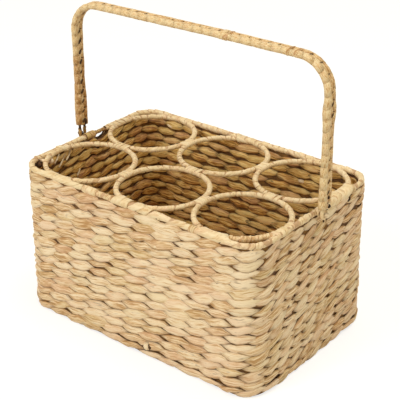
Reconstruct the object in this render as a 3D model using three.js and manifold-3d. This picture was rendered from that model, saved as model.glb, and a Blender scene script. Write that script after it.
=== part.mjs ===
// Six-bottle carrier: a wire frame, a woven leaf body, six wrapped bottle rings and a swinging handle.
// Millimetres. The origin is the middle of the underside. +X runs along the length, -Y is the front
// long side and +Z is up.

import * as THREE from 'three';
import { mergeVertices } from 'three/addons/utils/BufferGeometryUtils.js';
import Module from 'manifold-3d';

// Clearances
const fitGap = 0.3; // left between pieces that touch
const legClearance = 1.8; // between a handle leg and the foot of the wall
const overrun = 4; // how far a cutter runs past the piece that it cuts

// Wires
const ringWireDiameter = 2.8;
const rimWireDiameter = 3.5;
const baseWireDiameter = 3.5;
const stakeDiameter = 3;
const handleRodDiameter = 3;

// Leaf wrapped round the wires
const ringLeafThickness = 1.2;
const rimLeafThickness = 1.2;
const handleLeafThickness = 1.9;
const tieLength = 10;
const tieLeafThickness = 1.2;

// Bottle rings
const ringRadius = 50.5; // to the middle of the wire
const ringsAlong = 3;
const ringsAcross = 2;

// Body
const rimHeight = 178; // floor to the middle of the rim wire
const rimCornerRadius = 25; // to the middle of the rim wire
const wallThickness = 8.5;
const wallFlare = 1.2; // how much further out the foot of the wall stands than its top
const floatPitch = 26; // from one swell of the woven faces to the next, along the wall
const floatBands = 12; // levels where the woven faces swell and sink, from foot to top
const outerRelief = 1; // how far the outer face sinks between its swells
const innerRelief = 1.5;
const borderHeight = 9.3;
const borderEdgeRounding = 3;
const baseWireHeight = 6; // floor to the middle of the base wire
const basePanelThickness = 9;
const crossWireCount = 4;

// Handle and hinges
const handleHeight = 166; // hinge line to the middle of the bar
const handleCornerRadius = 34;
const pinRadius = 2;
const pinPlay = 0.35; // between the pin and the eye that turns on it
const eyeSidePlay = 0.5; // between the eye and the knob that keeps it on the pin
const knobRadius = 5;
const knobThickness = 5;
const gripStartHeight = 12; // hinge line to the lower end of the handle's leaf
const eyeTailHeight = 20; // hinge line to the butt joint of eye and rod
const bareRimInFront = 9; // bare rim wire on the front side of each hinge
const bareRimBehind = 28;
const leftLegSeamHeight = 96; // joins between the strips of leaf on the handle
const leftBarSeamPlace = -92;
const rightBarSeamPlace = 45;
const rightLegSeamHeight = 107;

// Facets
const ringSteps = 24;
const cornerSteps = 6;
const eyeSteps = 8;
const handleCornerSteps = 6;
const knobSteps = 4;
const knobSides = 12;
const wireSides = 6;
const wrapSides = 8;

// Sizes worked out from the ones above
const half = 0.5;
const ringWireRadius = ringWireDiameter * half;
const rimWireRadius = rimWireDiameter * half;
const baseWireRadius = baseWireDiameter * half;
const stakeRadius = stakeDiameter * half;
const rodRadius = handleRodDiameter * half;
const ringBoreRadius = ringWireRadius + fitGap;
const rimBoreRadius = rimWireRadius + fitGap;
const stakeBoreRadius = stakeRadius + fitGap;
const rodBoreRadius = rodRadius + fitGap;
const ringWrapRadius = ringBoreRadius + ringLeafThickness;
const rimWrapRadius = rimBoreRadius + rimLeafThickness;
const gripHalfThickness = rodBoreRadius + handleLeafThickness;
const rodOffset = pinRadius + pinPlay + rodRadius; // from the handle's middle plane to each rod

const ringPitch = (ringRadius + ringWrapRadius) / half + fitGap;
const rimOffset = ringWireRadius + fitGap + rimWireRadius; // ring wire to rim wire where they touch
const outerRingX = ringPitch * (ringsAlong - 1) * half;
const outerRingY = ringPitch * (ringsAcross - 1) * half;
const rimHalfLength = outerRingX + ringRadius + rimOffset;
const rimHalfWidth = outerRingY + ringRadius + rimOffset;
const straightHalfLength = rimHalfLength - rimCornerRadius;
const straightHalfWidth = rimHalfWidth - rimCornerRadius;

const wallTop = rimHeight - rimWrapRadius - fitGap;
const wallFoot = borderHeight + fitGap;
const wallOuter = rimWrapRadius; // outward from the middle of the rim wire
const wallInner = rimWrapRadius - wallThickness;
const wallFootOuter = wallOuter + wallFlare;
const stakeFoot = baseWireHeight + baseWireRadius + fitGap;
const stakeTop = rimHeight - rimWireRadius - fitGap;

const handleHalfSpan = rimHalfLength + wallFootOuter + legClearance + gripHalfThickness;
const quarterTurn = Math.PI * half;
const ringStepAngle = Math.PI / half / ringSteps;

// Half of the ring's arc along which one strip of leaf holds ring and rim together
const sharedRise = ringWrapRadius + rimWrapRadius + fitGap - rimOffset;
const sharedHalfAngle = Math.acos(1 - sharedRise / ringRadius);
const sharedGapAngle = fitGap / ringRadius;

const wasm = await Module();
wasm.setup();

const X = new THREE.Vector3(1, 0, 0);
const Y = new THREE.Vector3(0, 1, 0);
const Z = new THREE.Vector3(0, 0, 1);

// Materials
const leaf = new THREE.MeshStandardMaterial({ color: 0xd9b988, roughness: 0.78, metalness: 0 });
const paleLeaf = new THREE.MeshStandardMaterial({ color: 0xe3cb9f, roughness: 0.72, metalness: 0 });
const darkWire = new THREE.MeshStandardMaterial({ color: 0x3a2c20, roughness: 0.55, metalness: 0.7 });

const basket = new THREE.Group();
const handle = new THREE.Group();
handle.position.set(0, 0, rimHeight);
basket.add(handle);

function place(parent, name, geometry, material, x = 0, y = 0, z = 0) {
  const mesh = new THREE.Mesh(geometry, material);
  mesh.name = name;
  mesh.position.set(x, y, z);
  parent.add(mesh);
  return mesh;
}

// Section outlines: points across the direction of travel, u outwards and w along the path's normal

function circle(radius, sides, u = 0) {
  const points = [];
  for (let i = 0; i < sides; i += 1) {
    const angle = (i + half) * Math.PI / half / sides;
    points.push(new THREE.Vector2(u + radius * Math.cos(angle), radius * Math.sin(angle)));
  }
  return points;
}

// A slot shape with round ends, long along w when upright and along u otherwise
function slot(centreOffset, radius, upright) {
  const points = [];
  const endSides = wrapSides * half;
  for (const side of [1, -1]) {
    for (let i = 0; i <= endSides; i += 1) {
      const angle = i * Math.PI / endSides - quarterTurn;
      const along = side * (centreOffset + radius * Math.cos(angle));
      const across = side * radius * Math.sin(angle);
      points.push(upright ? new THREE.Vector2(-across, along) : new THREE.Vector2(along, across));
    }
  }
  return points;
}

function shifted(points, u, w) {
  return points.map((point) => new THREE.Vector2(point.x + u, point.y + w));
}

// Sweeps an outline, with any bores, along stations that each have a point and a direction of travel.
// A station may have an outline of its own, with as many points.
function sweep(stations, outline, normal, { bores = [], closed = false } = {}) {
  const loops = [outline, ...bores.map((bore) => bore.slice().reverse())];
  const section = loops.flat();
  const positions = [];
  for (const { point, direction, outline: own } of stations) {
    const outwards = direction.clone().cross(normal);
    for (const corner of own ?? section) {
      const vertex = point.clone().addScaledVector(outwards, corner.x).addScaledVector(normal, corner.y);
      positions.push(vertex.x, vertex.y, vertex.z);
    }
  }
  const faces = [];
  const count = section.length;
  const spans = closed ? stations.length : stations.length - 1;
  for (let k = 0; k < spans; k += 1) {
    const here = k * count;
    const next = ((k + 1) % stations.length) * count;
    let start = 0;
    for (const loop of loops) {
      for (let i = 0; i < loop.length; i += 1) {
        const a = start + i;
        const b = start + (i + 1) % loop.length;
        faces.push(here + a, next + a, here + b);
        faces.push(next + a, next + b, here + b);
      }
      start += loop.length;
    }
  }
  if (!closed) {
    const last = (stations.length - 1) * count;
    for (const [a, b, c] of THREE.ShapeUtils.triangulateShape(loops[0], loops.slice(1))) {
      const turn = section[b].clone().sub(section[a]).cross(section[c].clone().sub(section[a]));
      const [first, second] = turn > 0 ? [b, c] : [c, b];
      faces.push(a, first, second);
      faces.push(last + a, last + second, last + first);
    }
  }
  const geometry = new THREE.BufferGeometry();
  geometry.setAttribute('position', new THREE.Float32BufferAttribute(positions, 3));
  geometry.setIndex(faces);
  geometry.computeVertexNormals();
  return geometry;
}

function toSolid(geometry) {
  const bare = geometry.clone();
  bare.deleteAttribute('normal');
  bare.deleteAttribute('uv');
  const merged = mergeVertices(bare);
  const vertProperties = new Float32Array(merged.attributes.position.array);
  const triVerts = new Uint32Array(merged.index.array);
  return new wasm.Manifold(new wasm.Mesh({ numProp: 3, vertProperties, triVerts }));
}

function toGeometry(solid) {
  const mesh = solid.getMesh();
  const geometry = new THREE.BufferGeometry();
  geometry.setAttribute('position', new THREE.Float32BufferAttribute(mesh.vertProperties, mesh.numProp));
  geometry.setIndex(Array.from(mesh.triVerts));
  geometry.computeVertexNormals();
  return geometry;
}

function cutBy(geometry, cutters) {
  let solid = toSolid(geometry);
  for (const cutter of cutters) {
    solid = solid.subtract(toSolid(cutter));
  }
  return toGeometry(solid);
}

// A mirror image of a geometry, with its faces turned to point outwards again
function mirrored(geometry, signX, signY) {
  const copy = geometry.clone();
  copy.scale(signX, signY, 1);
  if (signX * signY < 0) {
    const index = copy.index.array;
    for (let i = 0; i < index.length; i += 3) {
      [index[i + 1], index[i + 2]] = [index[i + 2], index[i + 1]];
    }
  }
  copy.computeVertexNormals();
  return copy;
}

// Paths

function station(x, y, z, direction) {
  return { point: new THREE.Vector3(x, y, z), direction: direction.clone().normalize() };
}

// Part of a bottle ring, on the same facets as its wire, with angles counted from +X
function ringArc(from, to, z = 0) {
  const at = (angle) => {
    const step = Math.floor(angle / ringStepAngle + Number.EPSILON);
    const share = angle / ringStepAngle - step;
    const corners = [step, step + 1].map((k) => k * ringStepAngle);
    const [a, b] = corners.map((k) => new THREE.Vector3(Math.cos(k), Math.sin(k), 0));
    const radial = a.lerp(b, share);
    return station(ringRadius * radial.x, ringRadius * radial.y, z, Z.clone().cross(radial));
  };
  const stations = [at(from)];
  const first = Math.floor(from / ringStepAngle) + 1;
  for (let k = first; k * ringStepAngle < to; k += 1) {
    stations.push(at(k * ringStepAngle));
  }
  stations.push(at(to));
  return stations;
}

function movedStations(stations, x, y, z) {
  const offset = new THREE.Vector3(x, y, z);
  return stations.map(({ point, direction }) => ({ point: point.clone().add(offset), direction }));
}

// One rounded corner of the rim's outline, travelled anticlockwise from the given angle
function rimCorner(centreX, centreY, fromAngle, z) {
  const stations = [];
  for (let i = 0; i <= cornerSteps; i += 1) {
    const angle = fromAngle + i * quarterTurn / cornerSteps;
    const radial = new THREE.Vector3(Math.cos(angle), Math.sin(angle), 0);
    const x = centreX + rimCornerRadius * radial.x;
    const y = centreY + rimCornerRadius * radial.y;
    stations.push(station(x, y, z, Z.clone().cross(radial)));
  }
  return stations;
}

function rimOutline(z) {
  return [
    ...rimCorner(straightHalfLength, -straightHalfWidth, -quarterTurn, z),
    ...rimCorner(straightHalfLength, straightHalfWidth, 0, z),
    ...rimCorner(-straightHalfLength, straightHalfWidth, quarterTurn, z),
    ...rimCorner(-straightHalfLength, -straightHalfWidth, Math.PI, z),
  ];
}

// An upright round rod or cutter between two heights
function upright(radius, sides, x, y, from, to) {
  const geometry = new THREE.CylinderGeometry(radius, radius, to - from, sides);
  geometry.rotateX(quarterTurn);
  geometry.translate(x, y, (from + to) * half);
  return geometry;
}

// Rim and base wires
place(basket, 'rim_wire', sweep(rimOutline(0), circle(rimWireRadius, wrapSides), Z, { closed: true }),
  darkWire, 0, 0, rimHeight);
place(basket, 'base_wire', sweep(rimOutline(0), circle(baseWireRadius, wrapSides), Z, { closed: true }),
  darkWire, 0, 0, baseWireHeight);

// Stakes: upright wires between the base wire and the rim wire, two on each long side, one under
// each hinge and one at each corner
const diagonal = rimCornerRadius * Math.SQRT1_2;
const stakes = [
  { name: 'stake_left', x: -rimHalfLength, y: 0 },
  { name: 'stake_right', x: rimHalfLength, y: 0 },
];
for (const [row, signY] of [['front', -1], ['back', 1]]) {
  for (const [side, signX] of [['left', -1], ['right', 1]]) {
    stakes.push({ name: `stake_${row}_${side}`, x: signX * ringPitch * half, y: signY * rimHalfWidth });
    stakes.push({
      name: `stake_corner_${row}_${side}`,
      x: signX * (straightHalfLength + diagonal),
      y: signY * (straightHalfWidth + diagonal),
    });
  }
}
const stakeBores = [];
for (const { name, x, y } of stakes) {
  place(basket, name, upright(stakeRadius, wrapSides, 0, 0, stakeFoot, stakeTop), darkWire, x, y, 0);
  stakeBores.push(upright(stakeBoreRadius, wrapSides, x, y, baseWireHeight, rimHeight));
}

// Cross wires of the floor, from base wire to base wire
const crossReach = rimHalfWidth - baseWireRadius;
const crossSpacing = rimHalfLength / half / (crossWireCount + 1);
const crossBores = [];
for (let i = 0; i < crossWireCount; i += 1) {
  const x = (i + 1) * crossSpacing - rimHalfLength;
  const length = (crossReach - fitGap) / half;
  const wire = new THREE.CylinderGeometry(stakeRadius, stakeRadius, length, wrapSides);
  place(basket, `cross_wire_${i + 1}`, wire, darkWire, x, 0, baseWireHeight);
  const bore = new THREE.CylinderGeometry(stakeBoreRadius, stakeBoreRadius, crossReach / half, wrapSides);
  bore.translate(x, 0, baseWireHeight);
  crossBores.push(bore);
}

// Woven border round the foot: a channel that holds the base wire, with the wall standing on it
const grooveHalfWidth = baseWireRadius + fitGap;
const grooveFloor = baseWireHeight - baseWireRadius - fitGap;
const borderSection = [
  [wallInner, 0],
  [wallFootOuter - borderEdgeRounding, 0],
  [wallFootOuter, borderEdgeRounding],
  [wallFootOuter, borderHeight],
  [grooveHalfWidth, borderHeight],
  [grooveHalfWidth, grooveFloor],
  [-grooveHalfWidth, grooveFloor],
  [-grooveHalfWidth, borderHeight],
  [wallInner, borderHeight],
].map(([u, w]) => new THREE.Vector2(u, w));
const border = sweep(rimOutline(0), borderSection, Z, { closed: true });
place(basket, 'woven_border', cutBy(border, crossBores), leaf);

// Woven wall, bored for the stakes. Both faces swell and sink where the main strips pass over the
// stakes and dive between them, half a float further along at each level.
function wallSection(phase) {
  const outer = [];
  const inner = [];
  for (let level = 0; level <= floatBands; level += 1) {
    const sunk = (1 - Math.cos(Math.PI * (phase + level))) * half;
    const share = level / floatBands;
    const height = wallFoot + (wallTop - wallFoot) * share;
    const face = wallFootOuter + (wallOuter - wallFootOuter) * share;
    outer.push(new THREE.Vector2(face - outerRelief * sunk, height));
    inner.push(new THREE.Vector2(wallInner + innerRelief * sunk, height));
  }
  return [...outer, ...inner.reverse()];
}

// The rim's outline with stations half a float apart on its straights
function weaveOutline() {
  const corners = rimOutline(0);
  const stations = [];
  let phase = 0;
  corners.forEach((here, i) => {
    const next = corners[(i + 1) % corners.length];
    const gap = here.point.distanceTo(next.point);
    const straight = gap > rimCornerRadius;
    const steps = straight ? Math.round(gap / (floatPitch * half)) : 1;
    for (let k = 0; k < steps; k += 1) {
      const point = here.point.clone().lerp(next.point, k / steps);
      stations.push({ point, direction: here.direction, outline: wallSection(phase) });
      phase += straight ? 1 : half;
    }
  });
  return stations;
}

const wall = sweep(weaveOutline(), wallSection(0), Z, { closed: true });
place(basket, 'woven_wall', cutBy(wall, stakeBores), leaf);

// Woven floor panel, bored for the cross wires
const panelHalfLength = rimHalfLength + wallInner - fitGap;
const panelHalfWidth = rimHalfWidth + wallInner - fitGap;
const panelCornerRadius = rimCornerRadius + wallInner - fitGap;
const panelShape = new THREE.Shape();
for (const [signX, signY, fromAngle] of [
  [1, -1, -quarterTurn],
  [1, 1, 0],
  [-1, 1, quarterTurn],
  [-1, -1, Math.PI],
]) {
  const centreX = signX * (panelHalfLength - panelCornerRadius);
  const centreY = signY * (panelHalfWidth - panelCornerRadius);
  panelShape.absarc(centreX, centreY, panelCornerRadius, fromAngle, fromAngle + quarterTurn);
}
const panel = new THREE.ExtrudeGeometry(panelShape, {
  depth: basePanelThickness,
  bevelEnabled: false,
  curveSegments: cornerSteps,
});
place(basket, 'woven_floor', cutBy(panel, crossBores), leaf);

// Bottle rings. Each has a wire, and leaf wound round it in arcs that stop where the rim's own strip
// of leaf takes in both wires.
const rowNames = ['front', 'back'];
const columnNames = ['left', 'middle', 'right'];
const sharedZones = [];
for (let row = 0; row < ringsAcross; row += 1) {
  for (let column = 0; column < ringsAlong; column += 1) {
    const label = `${rowNames[row]}_${columnNames[column]}`;
    const x = column * ringPitch - outerRingX;
    const y = row * ringPitch - outerRingY;
    const wire = new THREE.TorusGeometry(ringRadius, ringWireRadius, wireSides, ringSteps);
    place(basket, `ring_wire_${label}`, wire, darkWire, x, y, rimHeight);

    // Directions in which this ring touches the rim, in order round the ring
    const touches = [];
    if (column === ringsAlong - 1) touches.push(0);
    if (row === ringsAcross - 1) touches.push(quarterTurn);
    if (column === 0) touches.push(Math.PI);
    if (row === 0) touches.push(Math.PI + quarterTurn);
    for (const angle of touches) {
      sharedZones.push({ x, y, angle });
    }
    touches.forEach((angle, i) => {
      const next = i + 1 < touches.length ? touches[i + 1] : touches[0] + Math.PI / half;
      const from = angle + sharedHalfAngle + sharedGapAngle;
      const to = next - sharedHalfAngle - sharedGapAngle;
      const wrap = sweep(ringArc(from, to), circle(ringWrapRadius, wireSides), Z, {
        bores: [circle(ringBoreRadius, wireSides)],
      });
      const corner = to - from < quarterTurn;
      place(basket, `ring_wrap_${label}${corner ? '_corner' : ''}`, wrap, paleLeaf, x, y, rimHeight);
    });
  }
}

// Ties: short bands of leaf round two neighbouring rings where they touch
const tieSpread = Math.tan(ringStepAngle * half) * tieLength * half;
const tieCentreOffset = ringPitch * half - ringRadius + tieSpread;
const tieInnerRadius = ringWrapRadius + fitGap;
const tieBore = slot(tieCentreOffset, tieInnerRadius, false);
const tieOutline = slot(tieCentreOffset, tieInnerRadius + tieLeafThickness, false);
function tie(alongY) {
  const direction = alongY ? Y : X;
  const reach = direction.clone().multiplyScalar(tieLength * half);
  const stations = [
    station(-reach.x, -reach.y, 0, direction),
    station(reach.x, reach.y, 0, direction),
  ];
  return sweep(stations, tieOutline, Z, { bores: [tieBore] });
}
for (let row = 0; row < ringsAcross; row += 1) {
  for (let column = 0; column < ringsAlong - 1; column += 1) {
    const name = `ring_tie_${rowNames[row]}_${columnNames[column]}_to_${columnNames[column + 1]}`;
    const x = (column + half) * ringPitch - outerRingX;
    place(basket, name, tie(true), paleLeaf, x, row * ringPitch - outerRingY, rimHeight);
  }
}
for (let column = 0; column < ringsAlong; column += 1) {
  const name = `ring_tie_across_${columnNames[column]}`;
  place(basket, name, tie(false), paleLeaf, column * ringPitch - outerRingX, 0, rimHeight);
}

// Rim wraps: leaf wound round the rim wire, and round ring and rim together where they touch
const overrunAngle = overrun / ringRadius;
const sharedTubes = [];
const sharedCutters = [];
for (const { x, y, angle } of sharedZones) {
  const arc = ringArc(angle - sharedHalfAngle, angle + sharedHalfAngle);
  const longArc = ringArc(angle - sharedHalfAngle - overrunAngle, angle + sharedHalfAngle + overrunAngle);
  const tube = sweep(movedStations(arc, x, y, rimHeight), circle(rimWrapRadius, wrapSides), Z);
  const cutter = sweep(movedStations(longArc, x, y, rimHeight), circle(ringBoreRadius, wireSides), Z);
  sharedTubes.push({ x, y, angle, tube });
  sharedCutters.push(cutter);
}

function rimWrap(stations, zones) {
  const start = stations[0];
  const end = stations[stations.length - 1];
  const longer = [
    { point: start.point.clone().addScaledVector(start.direction, -overrun), direction: start.direction },
    ...stations,
    { point: end.point.clone().addScaledVector(end.direction, overrun), direction: end.direction },
  ];
  let solid = toSolid(sweep(stations, circle(rimWrapRadius, wrapSides), Z));
  for (const { tube } of zones) {
    solid = solid.add(toSolid(tube));
  }
  solid = solid.subtract(toSolid(sweep(longer, circle(rimBoreRadius, wrapSides), Z)));
  for (const cutter of [...sharedCutters, ...stakeBores]) {
    solid = solid.subtract(toSolid(cutter));
  }
  return toGeometry(solid);
}

const frontStations = [
  station(-straightHalfLength + fitGap, -rimHalfWidth, rimHeight, X),
  station(straightHalfLength - fitGap, -rimHalfWidth, rimHeight, X),
];
const frontZones = sharedTubes.filter(({ angle }) => angle === Math.PI + quarterTurn);
const frontWrap = rimWrap(frontStations, frontZones);
place(basket, 'rim_wrap_front', frontWrap, paleLeaf);
place(basket, 'rim_wrap_back', mirrored(frontWrap, 1, -1), paleLeaf);

function cornerWrap(bareLength) {
  const stations = [
    ...rimCorner(straightHalfLength, -straightHalfWidth, -quarterTurn, rimHeight),
    station(rimHalfLength, -bareLength, rimHeight, Y),
  ];
  return rimWrap(stations, sharedTubes.filter(({ angle, y }) => angle === 0 && y < 0));
}
const nearWrap = cornerWrap(bareRimInFront);
const farWrap = cornerWrap(bareRimBehind);
place(basket, 'rim_wrap_right_front', nearWrap, paleLeaf);
place(basket, 'rim_wrap_left_front', mirrored(nearWrap, -1, 1), paleLeaf);
place(basket, 'rim_wrap_right_back', mirrored(farWrap, 1, -1), paleLeaf);
place(basket, 'rim_wrap_left_back', mirrored(farWrap, -1, -1), paleLeaf);

// Hinge pins: a round pin that stands out of the rim wire, with a knob that keeps the eye on it
const pinStart = rimHalfLength + rimWireRadius + fitGap;
const pinLength = handleHalfSpan + rodRadius + eyeSidePlay - pinStart;
const pinProfile = [
  new THREE.Vector2(0, 0),
  new THREE.Vector2(pinRadius, 0),
  new THREE.Vector2(pinRadius, pinLength),
];
for (let i = 0; i <= knobSteps; i += 1) {
  const angle = i * quarterTurn / knobSteps;
  const radius = pinRadius + (knobRadius - pinRadius) * Math.sin(angle);
  const along = pinLength + knobThickness * half * (1 - Math.cos(angle));
  if (i > 0) pinProfile.push(new THREE.Vector2(radius, along));
}
for (let i = 1; i <= knobSteps; i += 1) {
  const angle = i * quarterTurn / knobSteps;
  const radius = i < knobSteps ? knobRadius * Math.cos(angle) : 0;
  pinProfile.push(new THREE.Vector2(radius, pinLength + knobThickness * half * (1 + Math.sin(angle))));
}
const pin = new THREE.LatheGeometry(pinProfile, knobSides);
for (const [side, sign] of [['left', -1], ['right', 1]]) {
  const mesh = place(basket, `hinge_pin_${side}`, pin.clone(), darkWire, sign * pinStart, 0, rimHeight);
  mesh.rotation.z = -sign * quarterTurn;
}

// Handle, in its own frame with the hinge line through the origin

// The handle's path from the left leg over the bar to the right leg
function handleCorner(centreX, fromAngle) {
  const stations = [];
  for (let i = 0; i <= handleCornerSteps; i += 1) {
    const angle = fromAngle - i * quarterTurn / handleCornerSteps;
    const x = centreX + handleCornerRadius * Math.cos(angle);
    const z = handleHeight - handleCornerRadius + handleCornerRadius * Math.sin(angle);
    stations.push(station(x, 0, z, new THREE.Vector3(Math.sin(angle), 0, -Math.cos(angle))));
  }
  return stations;
}
const down = Z.clone().negate();
const barHalfLength = handleHalfSpan - handleCornerRadius;
const leftCorner = handleCorner(-barHalfLength, Math.PI);
const rightCorner = handleCorner(barHalfLength, quarterTurn);
const onLeftLeg = (z) => station(-handleHalfSpan, 0, z, Z);
const onRightLeg = (z) => station(handleHalfSpan, 0, z, down);
const onBar = (x) => station(x, 0, handleHeight, X);

const gripBores = [-1, 1].map((sign) => shifted(circle(rodBoreRadius, wrapSides), 0, sign * rodOffset));
const gripOutline = slot(rodOffset, gripHalfThickness, true);
const gripStrips = [
  ['handle_wrap_left_leg', [onLeftLeg(gripStartHeight), onLeftLeg(leftLegSeamHeight - fitGap)]],
  ['handle_wrap_left_corner', [
    onLeftLeg(leftLegSeamHeight),
    ...leftCorner,
    onBar(leftBarSeamPlace - fitGap),
  ]],
  ['handle_wrap_bar', [onBar(leftBarSeamPlace), onBar(rightBarSeamPlace - fitGap)]],
  ['handle_wrap_right_corner', [
    onBar(rightBarSeamPlace),
    ...rightCorner,
    onRightLeg(rightLegSeamHeight),
  ]],
  ['handle_wrap_right_leg', [onRightLeg(rightLegSeamHeight - fitGap), onRightLeg(gripStartHeight)]],
];
for (const [name, stations] of gripStrips) {
  place(handle, name, sweep(stations, gripOutline, Y, { bores: gripBores }), leaf);
}

// Two rods side by side inside the leaf
const rodStations = [
  onLeftLeg(eyeTailHeight + fitGap),
  ...leftCorner,
  ...rightCorner,
  onRightLeg(eyeTailHeight + fitGap),
];
for (const [name, sign] of [['handle_rod_front', -1], ['handle_rod_back', 1]]) {
  const rod = sweep(rodStations, circle(rodRadius, wrapSides), Y);
  place(handle, name, rod, darkWire, 0, sign * rodOffset, 0);
}

// Eyes: the rod ends bent under the pin and up again
const eyeStations = [station(0, -rodOffset, eyeTailHeight, down)];
for (let i = 0; i <= eyeSteps; i += 1) {
  const angle = Math.PI + i * Math.PI / eyeSteps;
  const y = rodOffset * Math.cos(angle);
  const z = rodOffset * Math.sin(angle);
  eyeStations.push(station(0, y, z, new THREE.Vector3(0, -Math.sin(angle), Math.cos(angle))));
}
eyeStations.push(station(0, rodOffset, eyeTailHeight, Z));
for (const [side, sign] of [['left', -1], ['right', 1]]) {
  const eye = sweep(eyeStations, circle(rodRadius, wrapSides), X);
  place(handle, `handle_eye_${side}`, eye, darkWire, sign * handleHalfSpan, 0, 0);
}

export default basket;
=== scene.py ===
# %% [markdown]
# A six-bottle carrier, dressed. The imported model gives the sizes, the hinges and the wire frame. What
# the eye sees is made here: rows of twined water hyacinth leaf, leaf wound round the rim and the six
# bottle rings, and the handle, wound in a figure of eight round its two rods.

# %% Load the frame
import math

import bmesh
import bpy
from mathutils import Matrix, Vector


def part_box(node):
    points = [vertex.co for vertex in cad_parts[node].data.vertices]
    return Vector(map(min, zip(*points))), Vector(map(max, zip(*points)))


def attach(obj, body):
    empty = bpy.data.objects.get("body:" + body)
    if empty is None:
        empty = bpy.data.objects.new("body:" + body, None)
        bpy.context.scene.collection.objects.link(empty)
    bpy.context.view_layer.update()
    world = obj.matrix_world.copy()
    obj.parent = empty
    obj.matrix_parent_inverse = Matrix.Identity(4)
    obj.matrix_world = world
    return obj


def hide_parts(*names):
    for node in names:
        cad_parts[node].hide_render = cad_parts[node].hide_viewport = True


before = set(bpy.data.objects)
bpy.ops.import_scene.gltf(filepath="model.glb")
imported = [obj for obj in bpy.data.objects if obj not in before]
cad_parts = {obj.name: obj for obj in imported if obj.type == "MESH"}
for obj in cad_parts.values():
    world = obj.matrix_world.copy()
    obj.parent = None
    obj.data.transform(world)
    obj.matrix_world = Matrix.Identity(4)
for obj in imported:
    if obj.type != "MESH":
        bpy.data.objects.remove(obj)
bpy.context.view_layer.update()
MM = 0.001

# %% [markdown]
# The camera stands where the photographer stood: to the right of the front, looking down through a long
# lens. It comes first, so that every later piece can be judged from the same spot. A Track To constraint
# would aim it too, but three axes written as the columns of a matrix also give the slight roll.

# %% Camera
RIM_CENTRE = Vector((0, 0, 178)) * MM
VIEW_AZIMUTH = math.radians(38.68)
VIEW_ELEVATION = math.radians(26.47)
VIEW_ROLL = math.radians(-0.18)
VIEW_DISTANCE = 1263 * MM
AIM_RIGHT = 6.5 * MM
AIM_UP = -32.1 * MM
LENS_LENGTH = 102.5
SENSOR_WIDTH = 36


def in_scene(name, data):
    """A new object of the scene that shows the data."""
    made = bpy.data.objects.new(name, data)
    bpy.context.scene.collection.objects.link(made)
    return made


back = Vector((
    math.sin(VIEW_AZIMUTH) * math.cos(VIEW_ELEVATION),
    -math.cos(VIEW_AZIMUTH) * math.cos(VIEW_ELEVATION),
    math.sin(VIEW_ELEVATION),
))
level_right = Vector((math.cos(VIEW_AZIMUTH), math.sin(VIEW_AZIMUTH), 0))
level_up = back.cross(level_right)
right = level_right * math.cos(VIEW_ROLL) + level_up * math.sin(VIEW_ROLL)
up = level_up * math.cos(VIEW_ROLL) - level_right * math.sin(VIEW_ROLL)

camera_data = bpy.data.cameras.new("camera")
camera_data.sensor_width = SENSOR_WIDTH
camera_data.lens = LENS_LENGTH
camera = in_scene("camera", camera_data)
camera.location = RIM_CENTRE + back * VIEW_DISTANCE + right * AIM_RIGHT + up * AIM_UP
camera.rotation_euler = Matrix((right, up, back)).transposed().to_euler()
bpy.context.scene.camera = camera
print("camera at", [round(x, 3) for x in camera.location])

# %% [markdown]
# Every look below is a node tree. Trees written socket by socket are long and hard to read, so this
# cell makes a small wrapper: a Signal is one socket, and arithmetic on it adds Math nodes. A formula in
# the script then looks like the formula it builds. The same wrapper serves shaders and Geometry Nodes.

# %% Helpers for node trees
SOCKETS = {
    "geometry": "NodeSocketGeometry",
    "number": "NodeSocketFloat",
    "whole": "NodeSocketInt",
    "vector": "NodeSocketVector",
    "colour": "NodeSocketColor",
    "collection": "NodeSocketCollection",
    "material": "NodeSocketMaterial",
}


def join(tree, value, socket):
    if isinstance(value, Signal):
        tree.links.new(value.socket, socket)
    elif value is not None:
        socket.default_value = value


class Signal:
    """One socket of a tree. Arithmetic on it adds Math nodes."""

    def __init__(self, tree, socket):
        self.tree = tree
        self.socket = socket

    def math(self, operation, *others, clamp=False):
        node = self.tree.nodes.new("ShaderNodeMath")
        node.operation = operation
        node.use_clamp = clamp
        for value, socket in zip((self, *others), node.inputs):
            join(self.tree, value, socket)
        return Signal(self.tree, node.outputs[0])

    def vector(self, operation, other=None, scale=None):
        node = self.tree.nodes.new("ShaderNodeVectorMath")
        node.operation = operation
        join(self.tree, self, node.inputs[0])
        join(self.tree, other, node.inputs[1])
        join(self.tree, scale, node.inputs[3])
        return Signal(self.tree, node.outputs["Vector"])

    def parts(self):
        node = add(self.tree, "ShaderNodeSeparateXYZ", {"Vector": self})
        return node["X"], node["Y"], node["Z"]

    def __add__(self, other):
        return self.math("ADD", other)

    def __sub__(self, other):
        return self.math("SUBTRACT", other)

    def __mul__(self, other):
        return self.math("MULTIPLY", other)

    def __truediv__(self, other):
        return self.math("DIVIDE", other)


class Made:
    """A node that was just added. Its outputs are read by name."""

    def __init__(self, tree, node):
        self.tree = tree
        self.node = node

    def __getitem__(self, name):
        return Signal(self.tree, next(s for s in self.node.outputs if s.enabled and s.name == name))


def add(tree, kind, inputs=None, **settings):
    node = tree.nodes.new(kind)
    for name, value in settings.items():
        setattr(node, name, value)
    for name, value in (inputs or {}).items():
        join(tree, value, next(s for s in node.inputs if s.enabled and s.name == name))
    return Made(tree, node)


def use_group(tree, kind, group, values):
    """A node that runs a group, with its inputs joined."""
    made = add(tree, kind, node_tree=group)
    for name, value in values.items():
        join(tree, value, made.node.inputs[name])
    return made


def new_group(name, kind, inputs, outputs):
    """An empty node group with named sockets by type: the tree, its input node and its output node."""
    tree = bpy.data.node_groups.new(name, kind)
    for way, sockets in (("INPUT", inputs), ("OUTPUT", outputs)):
        for kind_of_socket, labels in sockets.items():
            for label in labels:
                tree.interface.new_socket(label, in_out=way, socket_type=SOCKETS[kind_of_socket])
    return tree, add(tree, "NodeGroupInput"), tree.nodes.new("NodeGroupOutput")


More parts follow.
